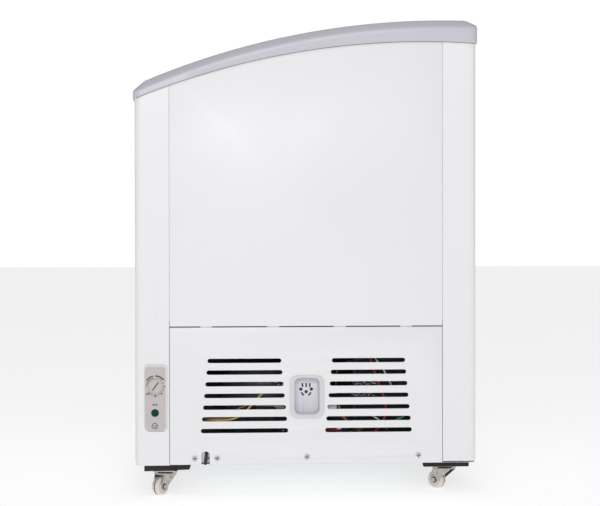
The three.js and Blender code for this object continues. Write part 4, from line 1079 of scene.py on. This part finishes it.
def add_plug_dock():
    low, high = box_mm("plug_dock")
    rim_z = (low.z + high.z) / 2
    open_z = rim_z + DOCK_OPENING_RISE
    front = high.x
    back = front - DOCK_DEPTH
    rim = (high.y - low.y, high.z - low.z)
    width, height = DOCK_OPENING[:2]
    narrow = (width - DOCK_DRAFT, height - DOCK_DRAFT, 9.6)
    rings = [dock_ring(FLANGE_FACE, (*rim, 15), rim_z),
             dock_ring(front - 0.9, (*rim, 15), rim_z),
             dock_ring(front - 0.25, (*rim, 14.7), rim_z, 0.6),
             dock_ring(front, (*rim, 13.9), rim_z, 2.2),
             dock_ring(front, DOCK_OPENING, open_z),
             dock_ring(front - 0.3, (width, height, 11.3), open_z, 1.7),
             dock_ring(front - 1.2, (width, height, 10.7), open_z, 2.9),
             dock_ring(front - 2.4, (width, height, 10.5), open_z, 3.2),
             dock_ring(back + 1.0, narrow, open_z),
             dock_ring(back - 2.0, narrow, open_z),
             dock_ring(back - 2.0, (width, height, 12.0), open_z),
             dock_ring(FLANGE_FACE - 0.2, (width, height, 12.3), open_z, -0.4)]
    openings = socket_openings(rim_z - PINS_DROP)
    face = back + 0.8
    piece = Piece("plug_dock_moulding").add(loft(rings, closed=True), "dock")
    # A black plate behind the back wall and black fill in each opening, painted as the shade in the socket's
    # holes
    dark = rounded_rectangle(DOCK_Y, open_z, 43, 64, 9, 6)
    piece.add(prism(dark, face - 4.4, face - 3.6, "x"), "black_plastic")
    for opening in openings:
        piece.add(prism(opening, face - 3.8, face - SHADE_FILL_INSET, "x"), "black_plastic")
    for y in (-4.2, 5.8):
        piece.add(block(front - 6.5, front - 2.6, y - 0.9, y + 0.9, 150.0, 151.6), "dock")
    piece.finish("cabinet", "dock_grey", ["plug_dock"], angle=30)
    groove = []
    for z, depth in FINGER_GROOVE:
        middle_x = face + FINGER_GROOVE_RADIUS - depth
        groove.append([(x, y, z) for x, y in circle(middle_x, 0.0, FINGER_GROOVE_RADIUS, 40)])
    wall = rounded_rectangle(DOCK_Y, open_z, 44.2, 65.4, 9.8, 8)
    wall_sheet = fretted_sheet(wall, openings, face - 3.4, face, 0.15)
    # The back wall, in the rim's plastic made lighter as painted light
    back_wall = Piece("plug_dock_back").add(wall_sheet, "dock_wall_lightened")
    back_wall.finish("cabinet", "dock_grey", angle=30, cuts=[loft(groove)])


# ---------------------------------------------------------------- controls


FILM = 0.12  # thickness of the film and of the marks printed on it
LAMP_RADIUS = 7.0
DIAL_RADIUS = 13.2


def add_control_plate():
    low, high = box_mm("control_plate")
    y, z = middle("control_plate")
    dial_y, dial_z = middle("thermostat_dial")
    lamp_y, lamp_z = middle("pilot_lamp")
    screw_y, screw_z = middle("control_screw")
    rings = []
    for x, share in ((low.x, 0.0), (low.x + 0.7, 0.0), (high.x - 0.2, 0.8), (high.x, 1.0)):
        y0, y1 = low.y + 0.9 * share, high.y - 3.6 * share
        z0, z1 = low.z + 0.9 * share, high.z - 3.4 * share
        outline = rounded_rectangle((y0 + y1) / 2, (z0 + z1) / 2, y1 - y0, z1 - z0, 7.5 - share, 8)
        rings.append([(x, u, v) for u, v in outline])
    discs = [circle(dial_y, dial_z, DIAL_RADIUS + 0.3, 48), circle(lamp_y, lamp_z, LAMP_RADIUS + 0.1, 32),
             circle(screw_y, screw_z, 4.6, 24)]
    plate = Piece("control_plate_moulding").add(loft(rings), "control_edge")
    plate.finish("cabinet", "control_grey", ["control_plate"], bevel=0.2,
                 cuts=[prism(disc, 515, 530, "x") for disc in discs])
    film = rounded_rectangle(y - 1.35, z - 1.25, high.y - low.y - 5.1, high.z - low.z - 4.9, 6.2, 8)
    film_sheet = fretted_sheet(film, discs, high.x - 0.05, high.x + FILM, 0.03)
    Piece("control_plate_film").add(film_sheet, "control").finish("cabinet", "control_grey")
    # A dark strip along the plate's lower edge, painted as the shadow under it
    plate_shadow = block(low.x + 0.1, low.x + 1.2, low.y + 6, high.y - 6, low.z - 0.7, low.z + 0.2)
    Piece("control_plate_shadow_line").add(plate_shadow, "painted_shadow").finish("cabinet", "black_plastic")
    add_control_marks(high.x + FILM, (dial_y, dial_z), (lamp_y, lamp_z), (screw_y, screw_z))
    add_dial(box_mm("thermostat_dial")[1].x, dial_y, dial_z)
    add_lamp(high.x, lamp_y, lamp_z)
    add_screw("control_screw", screw_y, screw_z, low.x + 0.7, 4.2, 1.4, 40)


def ring_sector(face, y, z, inner, outer, start, end):
    """A thin raised mark on the plate, between two radii and two angles."""
    steps = max(2, int(abs(end - start) / 6))
    outline = arc_points(y, z, outer, start, end, steps) + arc_points(y, z, inner, end, start, steps)
    return prism(outline, face - 0.05, face + FILM, "x")


def add_control_marks(face, dial, lamp, screw):
    """Plain bands, a scale of ticks round the dial, short bars over the lamp, and a ring round the screw."""
    dial_y, dial_z = dial
    lamp_y, lamp_z = lamp
    marks = Piece("control_plate_marks")
    marks.add(ring_sector(face, *screw, 4.7, 5.5, 2, 358), "ink_and_shade")
    sectors = [(18.2, 20.4, 102, 144), (18.2, 20.6, 38, 90), (15.2, 16.5, 100, 176), (15.4, 16.2, 66, 82),
               (15.3, 16.3, 44, 58), (15.3, 16.4, 20, 32), (15.0, 17.8, -4, 4), (15.4, 19.0, -93.5, -86.5),
               (15.2, 18.4, -53, -46)]
    for tick in range(-138, -8, 11):
        sectors.append((14.9, 16.7, tick - 2.2, tick + 2.2))
    for inner, outer, start, end in sectors:
        marks.add(ring_sector(face, dial_y, dial_z, inner, outer, start, end), "ink_and_shade")
    bars = [(dial_y - 16.8, dial_y - 10.2, dial_z - 14.2, dial_z - 12.2)]
    for left in (-4.4, -2.2, 0.9, 2.9):
        bars.append((lamp_y + left, lamp_y + left + 1.7, lamp_z + 13.5, lamp_z + 16.3))
    for y0, y1, z0, z1 in bars:
        marks.add(block(face - 0.05, face + FILM, y0, y1, z0, z1), "ink_and_shade")
    marks.finish("cabinet", "black_plastic")


POINTER_ANGLE = math.radians(54)
POINTER_ENDS = (9.8, -9.0)  # along the pointer, from the dial's middle
SHAFT_END = 500.0


def add_dial(face, y, z):
    back = FLANGE_FACE + 0.2
    sunk = face - 0.35
    profile = [(0, back), (DIAL_RADIUS, back), (DIAL_RADIUS, face - 0.9), (DIAL_RADIUS - 0.25, sunk),
               (DIAL_RADIUS - 0.9, face), (DIAL_RADIUS - 2.2, face), (DIAL_RADIUS - 2.6, sunk), (0, sunk)]
    place = along_x(SHAFT_END, y, z)
    shaft_length = back - SHAFT_END + 0.2
    disc = lathe([(r, x - SHAFT_END) for r, x in profile], 48, place)
    shaft = lathe([(0, 0), (3, 0), (3, shaft_length), (0, shaft_length)], 20, place)
    along = Vector((0, math.cos(POINTER_ANGLE), math.sin(POINTER_ANGLE)))
    across = Vector((0, -along.z, along.y))
    head, tail = [Vector((sunk, y, z)) + along * reach for reach in POINTER_ENDS]
    corners = [head + across, tail + across, tail - across, head - across]
    slot = loft([[c + Vector((-0.8, 0, 0)) for c in corners], [c + Vector((2, 0, 0)) for c in corners]])
    inlay = loft([[c + Vector((x, 0, 0)) for c in corners] for x in (-0.9, -0.5)])
    dial = Piece("thermostat_dial_disc").add(disc, "control").add(shaft, "control")
    dial.finish("dial", "control_grey", ["thermostat_dial"], cuts=[slot])
    Piece("thermostat_dial_pointer").add(inlay, "ink_and_shade").finish("dial", "black_plastic")


def add_lamp(face, y, z):
    lens = [(0, -22), (4.8, -22), (4.8, -1.0), (LAMP_RADIUS, -1.0), (LAMP_RADIUS, 0.1)]
    lens += [(LAMP_RADIUS * math.cos(a), 0.1 + 0.55 * math.sin(a)) for a in spaced(0.15, math.pi / 2, 8)]
    lens[-1] = (0, 0.65)
    lamp = Piece("pilot_lamp_lens").add(lathe(lens, 36, along_x(face, y, z)), "lamp")
    lamp.finish("cabinet", "lamp_green", ["pilot_lamp"])


def add_screw(node, y, z, seat, radius, height, turn=0):
    """A pan-head screw whose cross recess has its floor painted dark as shade."""
    profile = [(0, -12), (2.0, -12), (2.0, 0), (radius, 0), (radius, height * 0.3)]
    for a in spaced(0.25, math.pi / 2, 6):
        profile.append((radius * math.cos(a) * 0.98, height * (0.3 + 0.7 * math.sin(a))))
    profile[-1] = (0, height)
    reach, half = 0.74 * radius, 0.13 * radius
    floor = seat + height * 0.35
    arms, shadows = [], []
    for angle in (turn, turn + 90):
        place = Matrix.Translation((0, y, z)) @ Matrix.Rotation(math.radians(angle), 4, "X")
        arms.append(moved(block(floor, seat + height + 3, -reach, reach, -half, half), place))
        shadows.append(moved(block(floor - 0.1, floor + 0.15, -reach, reach, -half, half), place))
    piece = Piece(f"{node}_head").add(lathe(profile, 28, along_x(seat, y, z)), "screw")
    piece.finish("cabinet", "zinc", [node], cuts=arms)
    # The recess's floor: a dark sheet painted as shade
    recess = Piece(f"{node}_recess")
    for shape in shadows:
        recess.add(shape, "ink_and_shade")
    recess.finish("cabinet", "zinc")


def add_cover_screws():
    for number, (y, z) in enumerate(COVER_SCREWS, 1):
        add_screw(f"cover_screw_{number}", y, z, FLANGE_FACE, 5.0, 2.1)


NOTCH_PLATE_X = (514.4, 515.2)
# The plate round the boot's opening: y from the notch's middle, then height
NOTCH_PLATE_PARTS = ((-14, -1.2, 62, 92), (5.2, 14, 62, 92), (-1.2, 5.2, 62, 78.0), (-1.2, 5.2, 85.0, 92))


def add_cord_boot():
    """The bent boot in the notch, with the pale plate behind it and a black bar across its foot: the base
    sheet's edge, painted dark as a shadow line.
    """
    bottom = box_mm("cord_boot")[0].z
    route = eased([(498, NOTCH_Y + 2, 81.6), (508, NOTCH_Y + 2, 81.6), (515.5, NOTCH_Y + 2.2, 79.6),
                   (518.2, NOTCH_Y + 0.6, 72), (518.2, NOTCH_Y - 0.6, bottom)], 7)
    piece = Piece("cord_boot_moulding").add(tube(route, 2.7, 16), "black_plastic")
    for start, end in list(zip(route, route[1:]))[6:-2:3]:
        piece.add(tube([start, lerp(start, end, 0.6)], 3.1, 16), "black_plastic")
    hook = [(519.4, NOTCH_Y + 3.0, 68.6), (519.4, NOTCH_Y + 5.4, 70.4), (519.4, NOTCH_Y + 6.2, 72.6)]
    piece.add(tube(eased(hook, 4), 0.9, 8), "black_plastic")
    # The base sheet's edge across the notch's foot, in black as a painted shadow line
    piece.add(block(511, 519.6, NOTCH_Y - 8.2, NOTCH_Y + 7.6, 60.4, 61.4), "black_plastic")
    piece.finish("cabinet", "black_plastic", ["cord_boot"], angle=50)
    plate = Piece("cord_notch_plate")
    for y0, y1, z0, z1 in NOTCH_PLATE_PARTS:
        plate.add(block(*NOTCH_PLATE_X, NOTCH_Y + y0, NOTCH_Y + y1, z0, z1), "panel")
    plate.finish("cabinet", "panel_white")


# ---------------------------------------------------------------- skids and casters


# Each skid: its side, how far its outer and inner edges reach, and its inner side's lean
SKIDS = {"front_skid": (-1, 512.0, 494.0, 4.0), "rear_skid": (1, 486.0, 486.0, 1.6)}
SKID_PAD = 14.0  # length of the wider end of a skid
SKID_STEP = 10.0


def add_skids():
    """Runners under the cabinet, wider at their ends, with the inner side leaning in towards the foot."""
    for name, (side, outer_end, inner_end, lean) in SKIDS.items():
        low, high = box_mm(name)
        outer, inner = (low.y, high.y) if side < 0 else (high.y, low.y)
        pad_end = inner_end - SKID_PAD
        rings = []
        for z, inset in ((low.z, lean), (high.z, 0.0)):
            near = inner + side * inset
            half = [(outer_end, outer), (inner_end, near), (pad_end, near),
                    (pad_end, near + side * SKID_STEP)]
            rings.append([(x, y, z) for x, y in half] + [(-x, y, z) for x, y in reversed(half)])
        Piece(f"{name}_runner").add(loft(rings), "skid").finish("cabinet", "skid_black", [name], bevel=1.0)


PLATE_TOP = 46.2
PLATE_SIZE = 45.0
RIVET_SPREAD = 16.5
FORK_TOP = 41.7
FORK_HALF = 11.0
LEG_THICKNESS = 1.8
TRAIL = 15.0
WHEEL_RADIUS = 17.0
DISH_RADIUS = 20.0
HUB_RADIUS = 3.3
GROOVE_HALF = 1.3
GROOVE_DEPTH = 0.6


def caster_plate_piece(name, x, y):
    piece = Piece(f"{name}_caster_mount")
    outline = rounded_rectangle(x, y, PLATE_SIZE, PLATE_SIZE, 5)
    piece.add(prism(outline, PLATE_TOP - 2, PLATE_TOP, "z"), "zinc")
    place = Matrix.Translation((x, y, 0))
    race = [(0, 44.6), (16.4, 44.6), (16.4, 43.9), (15.8, 43.0), (14.2, 42.2), (13.0, 42.0), (0, 42.0)]
    piece.add(lathe(race, 32, place), "zinc")
    pin = [(0, 42.4), (4, 42.4), (4, 39.5), (6.5, 39.5), (6.2, 38.3), (4.5, 37.2), (0, 37.0)]
    piece.add(lathe(pin, 20, place), "zinc")
    for dx in (-RIVET_SPREAD, RIVET_SPREAD):
        for dy in (-RIVET_SPREAD, RIVET_SPREAD):
            head = Matrix.Translation((x + dx, y + dy, 0))
            piece.add(lathe([(0, 44.4), (4.0, 44.4), (4.0, 42.4), (3.5, 41.8), (0, 41.8)], 6, head), "zinc")
    piece.finish("cabinet", "zinc", [f"{name}_caster_plate"], bevel=0.35)


def fork_outline():
    """Side view of a fork's leg: wide under the crown, tapering to the axle."""
    leg = [(-DISH_RADIUS + 1.5, FORK_TOP - 1.0), (-DISH_RADIUS + 1.5, FORK_TOP - 4.5)]
    leg += arc_points(TRAIL, WHEEL_RADIUS, 6.4, 210, 350, 12)
    leg += [(TRAIL + 5.6, WHEEL_RADIUS + 7), (TRAIL + 3.4, FORK_TOP - 6.0), (TRAIL + 2.6, FORK_TOP - 1.0)]
    return leg


def caster_fork_piece(name, place, body):
    piece = Piece(f"{name}_caster_yoke")
    dish = [(0, FORK_TOP), (DISH_RADIUS - 1.5, FORK_TOP), (DISH_RADIUS, FORK_TOP - 1.2),
            (DISH_RADIUS, FORK_TOP - 3.4), (DISH_RADIUS - 1.6, FORK_TOP - 3.4),
            (DISH_RADIUS - 2.4, FORK_TOP - 1.9), (0, FORK_TOP - 1.9)]
    piece.add(moved(lathe(dish, 36), place), "zinc")
    for side in (-1, 1):
        inner_face = FORK_HALF - LEG_THICKNESS
        leg = sorted((side * FORK_HALF, side * inner_face))
        # A thin face on each leg's inner side, darkened as painted shade
        painted_shade_face = sorted((side * inner_face, side * (inner_face - 0.3)))
        piece.add(moved(prism(fork_outline(), *leg, "y"), place), "zinc")
        piece.add(moved(prism(fork_outline(), *painted_shade_face, "y"), place), "darkened_steel")
    race = [(0, FORK_TOP - 0.1), (12.6, FORK_TOP - 0.1), (12.6, FORK_TOP + 0.2), (0, FORK_TOP + 0.2)]
    piece.add(lathe(race, 28, place), "zinc")
    piece.finish(body, "zinc", [f"{name}_caster_fork"], bevel=0.3)


def on_axle(place):
    """Puts a shape turned about Z on a caster's axle."""
    return place @ Matrix.Translation((TRAIL, 0, WHEEL_RADIUS)) @ Matrix.Rotation(-math.pi / 2, 4, "X")


def caster_wheel_piece(name, place, body):
    piece = Piece(f"{name}_caster_roller")
    turned = on_axle(place)
    radius = WHEEL_RADIUS
    half = [(HUB_RADIUS, GROOVE_HALF), (radius - 1.2, GROOVE_HALF), (radius - 0.4, 1.5), (radius - 0.1, 2.0),
            (radius, 3.0), (radius - 0.4, 4.6), (radius - 1.6, 6.6), (radius - 3.4, 7.6), (radius - 5.4, 7.7),
            (radius - 6.0, 6.6), (7.4, 6.2), (6.6, 7.9), (HUB_RADIUS, 8.0)]
    core_radius, core_half = radius - GROOVE_DEPTH, GROOVE_HALF + 0.1
    core = [(HUB_RADIUS, -core_half), (core_radius, -core_half), (core_radius, core_half),
            (HUB_RADIUS, core_half)]
    piece.add(lathe(half, 40, turned), "wheel")
    piece.add(lathe([(r, -h) for r, h in half], 40, turned), "wheel")
    piece.add(lathe(core, 40, turned), "groove")
    piece.finish(body, "wheel_cream", [f"{name}_caster_wheel"], angle=40)


def caster_axle_piece(name, place, body):
    piece = Piece(f"{name}_caster_bolt")
    turned = on_axle(place)
    piece.add(lathe([(0, -11.4), (3, -11.4), (3, 13.0), (2.6, 13.9), (0, 13.9)], 20, turned), "zinc")
    piece.add(lathe([(3.1, 11.1), (5.8, 11.1), (5.8, 11.7), (3.1, 11.7)], 20, turned), "darkened_steel")
    piece.add(lathe([(2.9, 11.7), (4.6, 11.7), (4.6, 13.6), (4.2, 14.1), (2.9, 14.1)], 6, turned), "zinc")
    piece.add(lathe([(0, -11.2), (4.8, -11.2), (4.8, -13.2), (4.3, -13.7), (0, -13.7)], 6, turned), "zinc")
    piece.finish(body, "zinc", [f"{name}_caster_axle"], bevel=0.2)


def add_casters():
    for name, (x, y, heading) in CASTERS.items():
        place = Matrix.Translation((x, y, 0)) @ Matrix.Rotation(math.radians(heading), 4, "Z")
        caster_plate_piece(name, x, y)
        caster_fork_piece(name, place, f"{name}_swivel")
        caster_axle_piece(name, place, f"{name}_swivel")
        caster_wheel_piece(name, place, f"{name}_wheel")


# ---------------------------------------------------------------- machine compartment


COMPRESSOR_AT = (385.0, -70.0)
OVALITY = 1.15
FEET_SPREAD = (50, 80)
COMPRESSOR_PIPES = ((150, 128, 26), (-168, 196, 30))  # angle, height and reach


def add_compressor():
    x, y = COMPRESSOR_AT
    piece = Piece("compressor_shell")
    lower = [(0, 84), (48, 84), (60, 87), (69, 94), (73.5, 106), (75.5, 128), (76, 150), (79.6, 151),
             (80, 152), (80, 156), (79.6, 157), (75.6, 158)]
    dome = [(75, 176), (73.2, 200), (69, 216), (61, 229), (48, 239), (30, 245), (0, 247)]
    oval = Matrix.Translation((x, y, 0)) @ Matrix.Diagonal((1, OVALITY, 1, 1))
    piece.add(lathe(lower + dome, 48, oval), "black_paint")
    foot = rounded_rectangle(x, y, 122, 182, 12)
    piece.add(prism(foot, 80.5, 84.5, "z"), "black_paint")
    mount = [(0, 60.6), (10.5, 60.6), (11, 62), (9.5, 70), (11, 79), (0, 79)]
    nut = [(0, 84), (6, 84), (6, 88), (0, 88)]
    for sx in (-1, 1):
        for sy in (-1, 1):
            place = Matrix.Translation((x + sx * FEET_SPREAD[0], y + sy * FEET_SPREAD[1], 0))
            piece.add(lathe(mount, 20, place), "rubber")
            piece.add(lathe(nut, 6, place), "zinc")
    for angle, z, reach in COMPRESSOR_PIPES:
        turn = math.radians(angle)
        out = Vector((math.cos(turn), math.sin(turn) * OVALITY, 0))
        start = Vector((x, y, z)) + out * 72
        end = start + out * reach
        piece.add(tube(bent([start, end, end + Vector((0, 0, 44))], 9), 4, 12), "copper")
    strip = ((79.0, 152.5), (80.4, 152.5), (80.4, 173.5), (79.0, 173.5))
    label = []
    for a in spaced(-0.235, 0.36, 12):
        label.append([(x + r * math.cos(a), y + r * math.sin(a) * OVALITY, z) for r, z in strip])
    piece.add(loft(label), "label")
    piece.finish("cabinet", "black_paint", ["compressor"], bevel=0.5, angle=45)
    refined("terminal_cover", "black_plastic", bevel=3.0)


CONDENSER = (446.0, 490.0, 90.0, 280.0)
FIN_COUNT = 56
FIN_HALF = 0.2
TUBE_ROWS = 8
TUBE_PITCH = 23.5


def add_condenser():
    x0, x1, y0, y1 = CONDENSER
    piece = Piece("condenser_fins")
    for y in spaced(y0 + 4, y1 - 4, FIN_COUNT):
        piece.add(block(x0, x1, y - FIN_HALF, y + FIN_HALF, 82, 268), "fin")
    for near, far in ((y0, y0 + SHEET), (y1 - SHEET, y1)):
        piece.add(block(x0 - 1, x1 + 1, near, far, 62, 271), "dark_steel")
    for column, x in enumerate((x0 + 11, x1 - 11)):
        for row in range(TUBE_ROWS):
            z = 92 + row * TUBE_PITCH + column * 5
            piece.add(tube([(x, y0 + 1, z), (x, y1 - 1, z)], 4, 10), "fin")
            if row % 2 == 0:
                above = z + TUBE_PITCH
                bend = [(x, y1 - 1, z), (x, y1 + 4, z), (x, y1 + 4, above), (x, y1 - 1, above)]
                piece.add(tube(bent(bend, 3), 3.4, 8), "fin")
    piece.add(tube([(x0 + 20, y0 - 10.8, 240), (x0 + 20, y0 + 2, 240)], 4, 12), "fin")
    piece.finish("cabinet", "aluminium", ["condenser"])


# Colour, radius and route of each lead
LEADS = [
    ("brown_lead", 2.2, [
        (490, -82, 158), (499, -92, 156), (506, -118, 150), (508, -140, 143), (507, -178, 141),
        (505, -215, 147), (498, -250, 158), (493, -272, 172), (492, -275, 184)]),
    ("bronze_lead", 1.2, [
        (500, -98, 170), (508, -112, 164), (510, -124, 160), (509, -134, 150), (509, -150, 142.5),
        (508, -172, 139.5), (500, -200, 134)]),
    ("yellow_lead", 1.9, [
        (488, -70, 190), (500, -75, 190), (509, -81, 186.5), (512, -88, 180), (512, -103, 163.5),
        (512, -121, 147), (511, -142, 139.5), (508, -170, 139), (502, -205, 146), (496, -240, 156),
        (492, -270, 176)]),
    ("white_lead", 2.0, [
        (478, -82, 120), (474, -40, 98), (470, 10, 92), (430, 50, 92), (395, 110, 110), (372, 140, 150),
        (362, 148, 180)]),
    ("red_lead", 2.1, [
        (476, -78, 104), (484, -30, 98), (498, 20, 98), (502, 80, 100), (504, 112, 106), (506, 131, 120),
        (508, 144.5, 142), (509, 146, 163), (509, 141, 184), (508, 133.5, 206), (506, 125, 228),
        (500, 112, 262), (470, 80, 288)]),
    ("red_lead", 1.9, [
        (498, 20, 106), (504, 36, 116), (507, 46, 120), (506, 56, 118), (500, 74, 110)]),
    ("white_lead", 1.4, [
        (496, 118, 262), (506, 135, 240), (509, 143.5, 227), (509, 154, 206), (500, 159, 197),
        (480, 165, 192)]),
    ("white_lead", 1.3, [
        (500, 108, 152), (508, 121, 145), (509, 132, 138.5), (505, 142, 130), (495, 150, 118)]),
    ("bronze_lead", 1.8, [
        (498, 54, 178), (505, 58, 170), (509, 60.5, 161), (511, 64, 150), (511, 70, 141), (509, 82, 130),
        (502, 104, 120)]),
    ("brown_lead", 1.6, [(500, 66, 130), (506, 86, 125), (508, 97, 118), (502, 110, 108)]),
    ("green_lead", 2.2, [
        (498, 138, 122), (505, 156, 131), (509, 168, 138), (510, 176, 142), (509, 184, 147), (504, 196, 154),
        (495, 210, 160)]),
]
# Centre, half width, half height and look of each connector
CONNECTORS = [
    (502, 48, 162.5, 8.0, 5.5, "label"),
    (500, 46, 191.0, 8.0, 5.5, "label"),
    (508, 60, 122.4, 4.0, 1.4, "white_lead"),
]
# First and last y, height and count of each row of bare lugs
LUG_ROWS = [(92, 128, 205, 12), (86, 124, 184, 11), (-56, -44, 205, 3), (-42, -35, 121, 2)]
LUG_X = 506
LUG_SEED = 4


def add_leads():
    """The wiring behind the slots, as separate coloured leads with plugs and bare lugs."""
    piece = Piece("wiring_leads")
    for look, radius, route in LEADS:
        piece.add(tube(eased(route), radius, 10), look)
    for x, y, z, half_y, half_z, look in CONNECTORS:
        piece.add(block(x - 4, x + 6, y - half_y, y + half_y, z - half_z, z + half_z), look)
    chance = random.Random(LUG_SEED)
    for y0, y1, z, count in LUG_ROWS:
        for even_y in spaced(y0, y1, count):
            y = even_y + chance.uniform(-1, 1)
            place = Matrix.Translation((LUG_X, y, z + chance.uniform(-2.6, 2.6)))
            place = place @ Matrix.Rotation(chance.uniform(-0.7, 0.7), 4, "X")
            piece.add(moved(block(-3, 3, -chance.uniform(1.2, 3.0), 2.0, -0.5, 0.5), place), "screw")
    piece.add(block(490.5, 500, -90, -74, 148, 162), "black_plastic")
    piece.finish("cabinet", "wire", ["wiring_harness"], bevel=0.3, angle=50)


def add_machine_parts():
    add_compressor()
    add_condenser()
    refined("fan_shroud", "dark_steel", bevel=0.5)
    refined("fan_motor", "motor", bevel=1.0)
    refined("fan_blade", "aluminium", body="fan", bevel=0.4)
    refined("filter_drier", "copper", bevel=0.6)
    refined("discharge_pipe", "copper", bevel=0.0, angle=60)
    refined("evaporator_coil", "aluminium", bevel=0.0, angle=70)
    refined("thermostat_body", "dock", bevel=1.0)
    add_leads()


def add_inside():
    """The liner, the base and the foam."""
    refined("liner", "liner", bevel=2.0, angle=40)
    # The base is a galvanised sheet; here it is painted dark as the shade inside the machine compartment
    refined("bottom_plate", "dark_steel", bevel=0.5)
    refined("compressor_base", "galvanised", bevel=0.4)
    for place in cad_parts["insulation_foam"].material_slots:
        place.material = LOOKS["foam"].material


# ---------------------------------------------------------------- the whole freezer

add_camera()
add_studio()
add_floor()

add_wrapped_panels()
add_end_panels()
add_machine_cover()
add_side_rails()
add_end_rails()
add_lids()
add_baskets()
add_plug_dock()
add_control_plate()
add_cover_screws()
add_cord_boot()
add_skids()
add_casters()
add_machine_parts()
add_inside()
